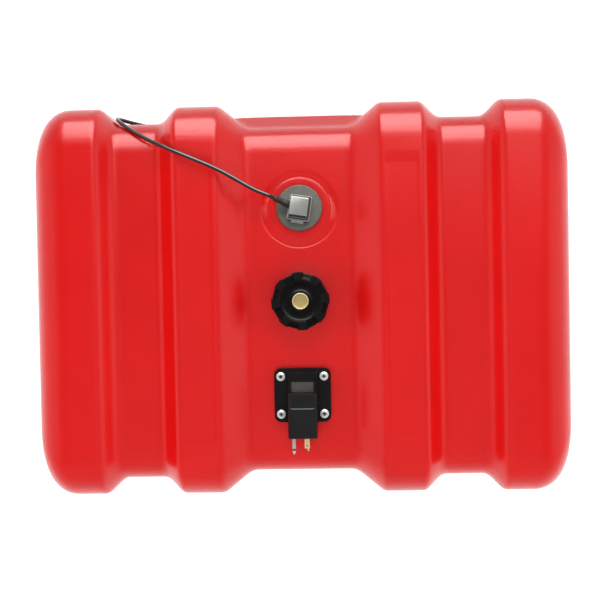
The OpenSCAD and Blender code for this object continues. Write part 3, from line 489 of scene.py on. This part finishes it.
def loftTank(bm, inward):
    stations = [(x, *crossSection(x, inward)) for x in shellKit["stations"]]
    run = shellKit["endRun"] - inward
    for i in range(shellKit["endSteps"] + 1):
        a = radians(90 * i / shellKit["endSteps"])
        lost = 1 - cos(a)
        stations.append((shellKit["endStart"] + run * sin(a),
            inward + (shellKit["endDrop"] - inward) * lost,
            inward + (shellKit["endDraw"] - inward) * lost, shellKit["shoulder"] - inward))
    stations = [(-s[0], *s[1:]) for s in reversed(stations[1:])] + stations
    spots = outlineSpots()
    made = bmesh.ops.create_grid(bm, x_segments=len(stations) - 1, y_segments=len(spots), size=1)
    for v in made["verts"]:
        x, sink, inset, corner = stations[round((v.co.x + 1) / 2 * (len(stations) - 1))]
        kind, f = spots[round((v.co.y + 1) / 2 * len(spots)) % len(spots)]
        y, z = sectionSpot(kind, f, sink, inset, corner, abs(x) < shellKit["ledgeHalf"], inward)
        v.co = (x, y, z)
    bmesh.ops.remove_doubles(bm, verts=made["verts"], dist=0.001)
    bmesh.ops.holes_fill(bm, edges=[e for e in bm.edges if e.is_boundary], sides=0)


def cutWindow(bm, xRange, yHalf, height):
    # takes a rectangle out of a flat top and gives the edges round it
    near = 0.05

    def inside(p, spare):
        return (xRange[0] - spare < p.x < xRange[1] + spare and abs(p.y) < yHalf + spare
            and abs(p.z - height) < near)
    gone = [f for f in bm.faces if inside(f.calc_center_median(), 0)]
    bmesh.ops.delete(bm, geom=gone, context="FACES")
    return [e for e in bm.edges if e.is_boundary and all(inside(v.co, near) for v in e.verts)]


def ringAt(bm, centre, half, radius, height, steps):
    # a circle, or with a half size a rounded rectangle
    spun = Matrix.Rotation(pi / steps, 4, "Z")
    made = bmesh.ops.create_circle(bm, segments=steps, radius=radius, matrix=spun)["verts"]
    for v in made:
        v.co = (centre[0] + v.co.x + copysign(half[0], v.co.x),
            centre[1] + v.co.y + copysign(half[1], v.co.y), height)
    return list(dict.fromkeys(e for v in made for e in v.link_edges))


def slopedHeight(slope, radius, height, rearward):
    # fills a trough towards the front, up to a slope that ends in a small step at its rim
    lowest, highest = slope["fills"]
    if not lowest < height < highest:
        return height
    filled = min(1, max(0, 0.5 - slope["turning"] * rearward))
    fallen = slope["crest"][1] - slope["fall"] * (radius - slope["crest"][0])
    stepped = slope["rim"][1] - slope["step"] * (slope["rim"][0] - radius)
    return height + (max(fallen, stepped) - height) * filled


def carryRing(bm, edges, centre, half, profile, slope=None):
    # draws a ring of edges along a profile of radius and height
    for radius, height in profile:
        made = bmesh.ops.extrude_edge_only(bm, edges=edges)["geom"]
        fresh = {v for v in made if isinstance(v, bmesh.types.BMVert)}
        edges = [e for e in made if isinstance(e, bmesh.types.BMEdge)
            and all(v in fresh for v in e.verts)]
        for v in fresh:
            hub = Vector((centre[0] + copysign(half[0], v.co.x - centre[0]),
                centre[1] + copysign(half[1], v.co.y - centre[1]), 0))
            away = Vector((v.co.x, v.co.y, 0)) - hub
            away.normalize()
            v.co = hub + away * radius
            v.co.z = slopedHeight(slope, radius, height, away.y) if slope else height
    return edges


# openings in the middle valley: start ring, then profiles of radius and height
fittingKit = {
    "port": {"centre": (0, -107), "start": 22.5, "steps": 64, "outer": [(22.5, 221)],
             "inner": []},
    "neck": {"centre": (0, -2), "start": 26, "steps": 72,
             "outer": [(25.2, 225.2), (24.6, 225.6), (24.15, 226.2), (24, 227), (24, 232),
                       (25.2, 233), (25.2, 234), (24, 235), (24, 237), (25.2, 238),
                       (25.2, 239), (24, 240), (24, 241.6), (23.6, 242), (20.9, 242),
                       (20.5, 241.6), (20.5, 216.5)],
             "inner": [(33, 216.5), (33, 221)]},
    # the boss has a trough round it, which runs out towards the front
    "sender": {"centre": (0, 101), "start": 45.2, "steps": 96,
               "slope": {"fills": (221, 226), "turning": 1.3, "crest": (33.4, 226.5), "fall": 0.2,
                         "rim": (44.6, 225), "step": 0.35},
               "outer": [(44.6, 225), (43.9, 224.92), (43.1, 224.65), (42.2, 224.15),
                         (41.1, 223.45), (39.9, 222.85), (38.8, 222.5), (37.6, 222.3),
                         (36.4, 222.22), (35.4, 222.3), (35.1, 222.6), (35, 224.9),
                         (34.85, 225.7), (34.3, 226.3), (33.4, 226.5), (31, 226.5),
                         (19.7, 226.5), (19.1, 226), (19.1, 216.5)],
               "inner": [(49, 216.5), (49, 221)]}}
# recessed panels on the two inner ribs, each in a window that is cut for it
panelKit = {"across": (94.75, 132.25), "middle": -1.5, "long": 306, "corner": 6.25, "steps": 32,
            "window": (94, 133), "windowHalf": 161.1, "top": 250,
            "profile": [(6.0, 249.93), (5.1, 249.8), (4.2, 249.62), (3.3, 249.48), (2.5, 249.41),
                        (1.9, 249.4)]}


def makeShell():
    bm = bmesh.new()
    loftTank(bm, 0)
    loftTank(bm, shellKit["wall"])
    valley = shellKit["valley"]
    across, top = (-valley["half"], valley["half"]), valley["top"]
    outside = cutWindow(bm, across, valley["long"], top)
    inside = cutWindow(bm, across, valley["long"], top - shellKit["wall"])
    for kit in fittingKit.values():
        ring = ringAt(bm, kit["centre"], (0, 0), kit["start"], top, kit["steps"])
        outside += ring
        inside += carryRing(bm, ring, kit["centre"], (0, 0), kit["outer"] + kit["inner"],
            kit.get("slope"))
    bmesh.ops.triangle_fill(bm, use_beauty=True, edges=outside, normal=(0, 0, 1))
    bmesh.ops.triangle_fill(bm, use_beauty=True, edges=inside, normal=(0, 0, 1))
    width = panelKit["across"][1] - panelKit["across"][0]
    half = (width / 2 - panelKit["corner"], panelKit["long"] / 2 - panelKit["corner"])
    for side in (-1, 1):
        centre = (side * sum(panelKit["across"]) / 2, panelKit["middle"])
        window = sorted(side * x for x in panelKit["window"])
        rim = cutWindow(bm, window, panelKit["windowHalf"], panelKit["top"])
        ring = ringAt(bm, centre, half, panelKit["corner"], panelKit["top"], panelKit["steps"])
        bmesh.ops.triangle_fill(bm, use_beauty=True, edges=rim + ring, normal=(0, 0, 1))
        ring = carryRing(bm, ring, centre, half, panelKit["profile"])
        bmesh.ops.edgeloop_fill(bm, edges=ring)
    bmesh.ops.recalc_face_normals(bm, faces=bm.faces)
    return finishPiece(bm, "tankShell", "tank", tankRed, ["tank_shell"])


makeShell()
print("shell lofted")


# screw cap: what stands on a gap, on a notch and on a lobe, as radius and height from the
# foot up the outside and inwards, and then the inside that all three share

capKit = {
    "centre": (0, -2), "phase": -16.5, "lobeEdges": (10.5, 33), "soft": 1.6, "wavy": 7,
    "turns": [0, 3, 5.5, 7.4, 8.7, 9.7, 10.1, 10.5, 10.9, 11.3, 12.4, 13.8, 16, 19, 22, 25, 27.5,
        29.5, 31, 32.2, 32.6, 33, 33.4, 33.8, 35, 36.5, 39, 42, 45],
    "wavyRows": (2, 3, 4, 5),
    "gap": [(29.9, 227), (30.5, 227.6), (30.6, 228.8), (30.7, 229.4), (30.7, 230.2),
        (30.7, 246.4), (30.6, 247.8), (30.3, 248.4), (29.7, 248.7), (28.8, 248.7),
        (26, 248.7), (25.6, 248.7), (25.3, 248.7), (25.1, 248.7), (24.8, 248.7), (24.3, 248.7),
        (22.6, 248.7), (22.1, 248.7), (21.8, 248.7), (21.6, 248.7), (21.4, 248.65)],
    "notch": [(29.9, 227), (30.5, 227.6), (30.6, 228.8), (30.7, 229.4), (30.7, 230.2),
        (30.7, 246.4), (30.6, 247.8), (30.3, 248.4), (29.7, 248.7), (28.8, 248.7),
        (26, 248.75), (25.4, 249.1), (25.1, 249.7), (25, 251.5), (24.75, 252.1), (24.2, 252.3),
        (22.5, 252.3), (21.9, 252.1), (21.6, 251.5), (21.5, 249.5), (21.4, 248.8)],
    "lobe": [(29.9, 227), (30.5, 227.6), (30.8, 228.8), (31.6, 229.4), (32, 230.6),
        (32, 246.4), (31.9, 250.6), (31.55, 251.6), (30.8, 252.3), (29.8, 252.3),
        (26, 252.3), (25.6, 252.3), (25.3, 252.3), (25.1, 252.3), (24.8, 252.3), (24.2, 252.3),
        (22.5, 252.3), (21.9, 252.1), (21.6, 251.5), (21.5, 249.5), (21.4, 248.8)],
    "inside": [(21, 248.4), (20, 247.9), (19.2, 247.7), (13.3, 247.7), (12.5, 247.85),
        (11.6, 248.5), (11.1, 248.7), (10.1, 248.7), (9.75, 248.6), (9.6, 248.3), (9.6, 240.7),
        (4, 240.7), (4, 237.7), (12.6, 237.7), (13, 238.1), (13, 244.3), (25.7, 244.3),
        (25.7, 227.5), (26.2, 227)]}


def ease(x):
    # 0 to 1 with a soft start and end
    x = min(max(x, 0), 1)
    return x * x * (3 - 2 * x)


def makeCap():
    turns = capKit["turns"] + [90 - t for t in reversed(capKit["turns"][1:-1])]
    around = [90 * quarter + t for quarter in range(4) for t in turns]
    outside = len(capKit["lobe"])
    rows = outside + len(capKit["inside"])
    bm = bmesh.new()
    made = bmesh.ops.create_grid(bm, x_segments=len(around), y_segments=rows, size=1)["verts"]
    for v in made:
        angle = around[round((v.co.x + 1) / 2 * len(around)) % len(around)]
        row = round((v.co.y + 1) / 2 * rows) % rows
        away = abs((angle + 45) % 90 - 45)
        soft = capKit["wavy"] if row in capKit["wavyRows"] else capKit["soft"]
        start, end = [ease((away - edge) / soft + 0.5) for edge in capKit["lobeEdges"]]
        if row < outside:
            spots = [capKit[name][row] for name in ("notch", "lobe", "gap")]
            shares = (1 - start, start - end, end)
            r, z = [sum(s * spot[i] for s, spot in zip(shares, spots)) for i in (0, 1)]
        else:
            r, z = capKit["inside"][row - outside]
        a = radians(angle + capKit["phase"])
        v.co = (capKit["centre"][0] + r * cos(a), capKit["centre"][1] + r * sin(a), z)
    bmesh.ops.remove_doubles(bm, verts=bm.verts, dist=0.001)
    bmesh.ops.recalc_face_normals(bm, faces=bm.faces)
    return finishPiece(bm, "fillerCap", "cap", capBlack, ["filler_cap"])


makeCap()


# turned pieces, from half profiles of radius and height

def turned(profile, steps, matrix):
    bm = bmesh.new()
    made = [bm.verts.new((r, 0, z)) for r, z in profile]
    line = [bm.edges.new(pair) for pair in zip(made, made[1:])]
    bmesh.ops.spin(bm, geom=made + line, cent=(0, 0, 0), axis=(0, 0, 1), angle=2 * pi,
        steps=steps, use_merge=True)
    bmesh.ops.remove_doubles(bm, verts=bm.verts, dist=0.001)
    bmesh.ops.recalc_face_normals(bm, faces=bm.faces)
    bmesh.ops.transform(bm, matrix=matrix, verts=bm.verts)
    return bm


buttonKit = {
    "centre": (0, -2, 0), "steps": 72,
    "profile": [(0, 232.4), (3.1, 232.4), (3.5, 232.8), (3.5, 246.8), (8.7, 246.8), (9.1, 247.2),
        (9.1, 248.8), (8.95, 249.15), (8.6, 249.3), (8.2, 249.3), (7.95, 249.2), (7.7, 249.12),
        (4, 249.1), (1.3, 249.1), (1.05, 249.05), (0.8, 248.7), (0, 248.6)]}
bootKit = {
    "root": (-8, 102.5, 240.5), "rise": 18, "turn": 155, "steps": 40,
    "profile": [(0, 0), (4, 0), (4, 9.6), (3.9, 10.2), (3.5, 10.6), (3.45, 11.6), (3.75, 12),
        (3.72, 13.4), (3.3, 13.8), (3.28, 14.8), (3.5, 15.2), (3.45, 16.6), (3.1, 17),
        (3.05, 18), (3.25, 18.4), (3.2, 21), (3, 21.7), (2.4, 22), (0, 22)]}


def makeTurnedPieces():
    spot = Matrix.Translation(buttonKit["centre"])
    bm = turned(buttonKit["profile"], buttonKit["steps"], spot)
    finishPiece(bm, "ventButton", "vent", ventBrass, ["vent_button"])
    spot = (Matrix.Translation(bootKit["root"]) @ Matrix.Rotation(radians(bootKit["turn"]), 4, "Z")
        @ Matrix.Rotation(radians(90 - bootKit["rise"]), 4, "Y"))
    bm = turned(bootKit["profile"], bootKit["steps"], spot)
    finishPiece(bm, "leadBoot", "tank", bootRubber, ["lead_boot"])


# coil under the vent button, drawn at rest; it stays as it is when the button goes down
springKit = {"foot": (0, -2, 241), "reach": 5.7, "mean": 4.6, "wire": 0.7, "round": 10,
             "turns": 2.5, "steps": 80, "pressed": 0.55}


def makeSpring():
    bm = bmesh.new()
    upright = (Matrix.Translation((springKit["mean"], 0, springKit["wire"]))
        @ Matrix.Rotation(pi / 2, 4, "X"))
    made = bmesh.ops.create_circle(bm, segments=springKit["round"], radius=springKit["wire"],
        matrix=upright)["verts"]
    ring = list(dict.fromkeys(e for v in made for e in v.link_edges))
    climb = (springKit["reach"] - 2 * springKit["wire"]) / springKit["steps"]
    bmesh.ops.spin(bm, geom=made + ring, cent=(0, 0, 0), axis=(0, 0, 1),
        angle=2 * pi * springKit["turns"], steps=springKit["steps"], dvec=(0, 0, climb))
    bmesh.ops.holes_fill(bm, edges=[e for e in bm.edges if e.is_boundary], sides=0)
    bmesh.ops.recalc_face_normals(bm, faces=bm.faces)
    bmesh.ops.translate(bm, verts=bm.verts, vec=springKit["foot"])
    slot = partOf["vent_spring"]["material_slot"]
    piece = finishPiece(bm, "ventSpring", "cap", finishes[slot], ["vent_spring"])
    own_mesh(piece)


makeTurnedPieces()
makeSpring()
print("cap, button and boot turned")


# head of the sender: rounded squares as middle, half size inside the corners, corner radius
# and height, in the head's own directions, and a toothed tab in front of it

headKit = {
    "centre": (0, 101), "turn": -9, "steps": 32,
    "rings": [(0.5, -0.1, 10.3, 11.7, 2, 231.5), (0.5, -0.1, 10.3, 11.7, 2.4, 231.9),
        (0.5, -0.1, 10.3, 11.7, 2.4, 236), (0.5, -0.1, 10.3, 11.7, 2.1, 236.4),
        (0.5, -0.1, 10.3, 11.7, 1.3, 236.5), (0.5, -0.1, 10.3, 11.7, 1.05, 236.3),
        (0.5, -0.1, 10.3, 11.7, 1, 235.2),
        (-0.2, -0.5, 9, 10, 1.4, 235.2), (-0.2, -0.5, 9, 10, 1.4, 240),
        (-0.2, -0.5, 9, 10, 1.25, 240.35), (-0.2, -0.5, 9, 10, 0.9, 240.5),
        (0, 0.9, 9.1, 9.2, 0.9, 240.5), (0, 0.9, 9.1, 9.2, 0.9, 247.4),
        (0, 0.85, 9.1, 9.1, 0.85, 247.65), (0, 0.5, 9, 8.8, 0.8, 247.9),
        (0, 0.45, 8.95, 8.7, 0.7, 248)],
    "paintedShadeGrime": (5, 6, 7, 10, 11),       # walls between these rings and the next are darkened: grime with painted shade under the lip
    "tab": {"half": 6.9, "rear": -14.1, "front": -17.6, "foot": 231.4, "top": 233.4,
            "teeth": 7, "perTooth": 8, "rows": 4, "deep": 0.7, "droop": 0.6}}


def placeOnHead(bm):
    spot = Matrix.Translation((*headKit["centre"], 0)) @ Matrix.Rotation(
        radians(headKit["turn"]), 4, "Z")
    bmesh.ops.transform(bm, matrix=spot, verts=bm.verts)
    bmesh.ops.recalc_face_normals(bm, faces=bm.faces)


def makeHead():
    bm = bmesh.new()
    loops = [ringAt(bm, (x, y), (halfX, halfY), r, z, headKit["steps"])
        for x, y, halfX, halfY, r, z in headKit["rings"]]
    for i, (low, high) in enumerate(zip(loops, loops[1:])):
        for face in bmesh.ops.bridge_loops(bm, edges=low + high)["faces"]:
            face.material_index = 1 if i in headKit["paintedShadeGrime"] else 0
    for end in (loops[0], loops[-1]):
        bmesh.ops.edgeloop_fill(bm, edges=end)
    placeOnHead(bm)
    head = finishPiece(bm, "senderHead", "tank", headZinc, ["sender_head"])
    # second slot, the dark zinc: grime with painted shade on the walls under the lip
    head.data.materials.append(paintedShadeGrimeZinc)
    tab = headKit["tab"]
    bm = bmesh.new()
    bmesh.ops.create_grid(bm, x_segments=tab["perTooth"] * tab["teeth"],
        y_segments=tab["rows"], size=1)
    for v in bm.verts:
        tooth = abs((v.co.x + 1) / 2 * tab["teeth"] % 1 - 0.5) * 2
        back = (v.co.y + 1) / 2
        front = tab["front"] + tab["deep"] * tooth
        v.co = (v.co.x * tab["half"], front + (tab["rear"] - front) * back,
            tab["top"] - tab["deep"] * tooth * (1 - back ** 4)
            - tab["droop"] * (1 - back) ** 2)
    walls = bmesh.ops.extrude_face_region(bm, geom=bm.faces[:])["geom"]
    for v in walls:
        if isinstance(v, bmesh.types.BMVert):
            v.co.z = tab["foot"]
    placeOnHead(bm)
    finishPiece(bm, "lockTab", "tank", headZinc, [])


makeHead()
print("sender's head built")


# connector body, with the sloped rim of its recess
blockKit = {
    "centre": (0, -129), "steps": 32, "top": 245,
    # half size inside the corners, corner radius and height
    "rings": [(15.2, 24.2, 0.5, 231.5), (15.2, 24.2, 0.8, 231.8), (15.2, 24.2, 0.8, 243.7),
        (15.15, 24.2, 0.75, 243.95), (14.4, 24, 0.75, 244.75), (14.15, 23.95, 0.7, 244.97),
        (13.9, 23.9, 0.6, 245)],
    "recess": {"centre": (0.2, -113.3), "half": (11, 4.7), "start": 3.4, "steps": 40,
               "profile": [(3.2, 244.9), (2.3, 244.25), (2, 244.2)]}}


def makeConnector():
    bm = bmesh.new()
    loops = [ringAt(bm, blockKit["centre"], (halfX, halfY), r, z, blockKit["steps"])
        for halfX, halfY, r, z in blockKit["rings"]]
    for low, high in zip(loops, loops[1:]):
        bmesh.ops.bridge_loops(bm, edges=low + high)
    bmesh.ops.edgeloop_fill(bm, edges=loops[0])
    recess = blockKit["recess"]
    rim = ringAt(bm, recess["centre"], recess["half"], recess["start"], blockKit["top"],
        recess["steps"])
    bmesh.ops.triangle_fill(bm, use_beauty=True, edges=loops[-1] + rim, normal=(0, 0, 1))
    floor = carryRing(bm, rim, recess["centre"], recess["half"], recess["profile"])
    bmesh.ops.edgeloop_fill(bm, edges=floor)
    bmesh.ops.recalc_face_normals(bm, faces=bm.faces)
    flattenFaces(finishPiece(bm, "connectorBody", "tank", plateBlack, ["connector_body"]))


makeConnector()


# pieces that keep their solid's shape, with the hard edges rounded

# screws stand at the corners of a rectangle about the plate's middle
screwKit = {"middle": (0, -107), "half": (24, 21), "armHalf": 0.5, "near": 0.06, "wider": 0.3,
            "crossReach": 2.5, "shadeGrimeLong": 2.1, "shadeGrimeHalf": 0.82}
# along the silver prong, and the brass prong's hole as middle and reach
prongKit = {"groove": (-167.6, -165.6), "hole": (4.25, -162), "holeReach": 0.95}


def offScrew(p):
    # how far a point is from the middle of its screw
    return [abs(p[i] - screwKit["middle"][i]) - screwKit["half"][i] for i in (0, 1)]


def widenCross(v):
    # moves the walls of a screw's cross apart
    offs = offScrew(v.co)
    for axis, off in enumerate(offs):
        if (abs(abs(off) - screwKit["armHalf"]) < screwKit["near"]
                and hypot(*offs) < screwKit["crossReach"]):
            side = copysign(1, v.co[axis] - screwKit["middle"][axis])
            v.co[axis] += side * copysign(screwKit["wider"], off)


# the screws' cross recess, darkened with grime and painted shade
def inCross(p):
    offs = [abs(off) for off in offScrew(p)]
    return max(offs) < screwKit["shadeGrimeLong"] and min(offs) < screwKit["shadeGrimeHalf"]


def inGroove(p):
    return prongKit["groove"][0] < p.y < prongKit["groove"][1]


def inHole(p):
    return hypot(*(p[i] - prongKit["hole"][i] for i in (0, 1))) < prongKit["holeReach"]


softKit = [
    {"node": "gauge_plate", "name": "gaugePlate", "width": 0.55, "rounds": 3,
     "finish": gaugeBlack},
    {"node": "plate_gasket", "name": "plateGasket", "width": 0.25},
    {"node": "gauge_window", "name": "gaugeWindow", "width": 0.25},
    {"node": "sender_flange", "name": "senderFlange", "width": 0.2},
    {"node": "sender_gasket", "name": "senderGasket", "width": 0.3},
    # cross recess, groove and cross hole are darkened: grime with painted shade in the hollows
    {"node": "plate_screws", "name": "plateScrews", "finish": screwSteel, "shape": widenCross,
     "paintedShadeGrime": inCross},
    {"node": "fuel_prong", "name": "fuelProng", "finish": prongSteel, "paintedShadeGrime": inGroove},
    {"node": "locating_prong", "name": "locatingProng", "paintedShadeGrime": inHole}]

for kit in softKit:
    soften(kit)
print("plate and its fittings finished")


# studio: pale floor, soft fills all round, and cards behind the tank for its gloss

studioKit = {
    "floor": {"half": 9.0, "height": -0.0003, "tone": (0.86, 0.86, 0.86, 1), "rough": 0.9},
    "aim": (0, 0, 0.2),
    "lamps": [
        # fills that stay out of the gloss, and cards that only show in it
        {"name": "frontBox", "place": (-0.1, -1.3, 2.1), "size": (3.2, 2.0), "power": 14,
         "hidden": "visible_glossy"},
        {"name": "highCard", "place": (0.15, 1.26, 1.75), "size": (2.2, 0.78), "power": 36,
         "hidden": "visible_diffuse"},
        {"name": "lowCard", "place": (0.15, 1.8, 1.08), "size": (2.3, 1.07), "power": 62,
         "hidden": "visible_diffuse"},
        {"name": "upperCard", "place": (0.15, 0.74, 2.12), "size": (2.2, 0.55), "power": 6,
         "hidden": "visible_diffuse"},
        {"name": "rearFill", "place": (0.1, 1.45, 1.75), "size": (0.9, 0.7), "power": 9,
         "hidden": "visible_glossy"},
        {"name": "topFill", "place": (0, -0.5, 2.3), "size": (1.8, 1.8), "power": 13,
         "hidden": "visible_glossy"},
        {"name": "leftFill", "place": (-1.8, 0, 1.0), "size": (1.2, 0.9), "power": 8,
         "hidden": "visible_glossy"},
        {"name": "rightFill", "place": (1.8, 0, 1.0), "size": (1.2, 0.9), "power": 8,
         "hidden": "visible_glossy"}],
    # the floor's own white, and the world's strength at the sides and straight above
    "glow": 0.6, "sky": (0.55, 0.06),
    # heights on the unit sphere where that strength fades, and where the white band ends
    "skyFade": (0.6, 0.95), "bandFade": (0.2, 0.34)}


def seenRays(tree):
    # 1 for the rays that show the background itself
    rays = addNode(tree, "ShaderNodeLightPath")
    either = addNode(tree, "ShaderNodeMath", {0: rays.outputs["Is Camera Ray"],
        1: rays.outputs["Is Glossy Ray"]}, operation="MAXIMUM")
    return addNode(tree, "ShaderNodeMath", {0: either.outputs[0],
        1: rays.outputs["Is Transmission Ray"]}, operation="MAXIMUM").outputs[0]


def makeStudio():
    kit = studioKit["floor"]
    bm = bmesh.new()
    bmesh.ops.create_grid(bm, x_segments=1, y_segments=1, size=kit["half"])
    mesh = bpy.data.meshes.new("studioFloor")
    bmesh.ops.translate(bm, verts=bm.verts, vec=(0, 0, kit["height"]))
    bm.to_mesh(mesh)
    bm.free()
    floor = bpy.data.objects.new("studioFloor", mesh)
    scene.collection.objects.link(floor)
    paper = bpy.data.materials.new("floorPaper")
    paper.use_nodes = True
    tree = paper.node_tree
    shader = tree.nodes["Principled BSDF"]
    shader.inputs["Base Color"].default_value = kit["tone"]
    shader.inputs["Roughness"].default_value = kit["rough"]
    seen = addNode(tree, "ShaderNodeMath", {0: seenRays(tree), 1: studioKit["glow"]},
        operation="MULTIPLY")
    shader.inputs["Emission Color"].default_value = (1, 1, 1, 1)
    tree.links.new(seen.outputs[0], shader.inputs["Emission Strength"])
    floor.data.materials.append(paper)
    for kit in studioKit["lamps"]:
        lamp = bpy.data.lights.new(kit["name"], "AREA")
        lamp.shape = "RECTANGLE"
        lamp.size, lamp.size_y = kit["size"]
        lamp.energy = kit["power"]
        lampObject = bpy.data.objects.new(kit["name"], lamp)
        if "hidden" in kit:
            setattr(lampObject, kit["hidden"], False)
        lampObject.location = kit["place"]
        away = Vector(studioKit["aim"]) - Vector(kit["place"])
        lampObject.rotation_euler = away.to_track_quat("-Z", "Y").to_euler()
        scene.collection.objects.link(lampObject)
    world = bpy.data.worlds.new("studioWorld")
    world.use_nodes = True
    tree = world.node_tree
    sky = tree.nodes["Background"]
    sky.inputs["Color"].default_value = (1, 1, 1, 1)
    around = addNode(tree, "ShaderNodeTexCoord").outputs["Generated"]
    parts = addNode(tree, "ShaderNodeSeparateXYZ", {"Vector": around})
    sides, above = studioKit["sky"]
    low, high = studioKit["skyFade"]
    fill = addNode(tree, "ShaderNodeMapRange", {"Value": parts.outputs["Z"], "From Min": low,
        "From Max": high, "To Min": sides, "To Max": above})
    # the band round the horizon shows white
    low, high = studioKit["bandFade"]
    band = addNode(tree, "ShaderNodeMapRange", {"Value": parts.outputs["Z"], "From Min": low,
        "From Max": high, "To Min": 1.0, "To Max": 0.0})
    shown = addNode(tree, "ShaderNodeMath", {0: band.outputs[0], 1: seenRays(tree)},
        operation="MULTIPLY")
    strength = addNode(tree, "ShaderNodeMix", {"Factor": shown.outputs[0],
        "A": fill.outputs[0], "B": 1.0})
    tree.links.new(strength.outputs[0], sky.inputs["Strength"])
    scene.world = world


makeStudio()
scene.view_settings.view_transform = "Standard"
print("studio lit")
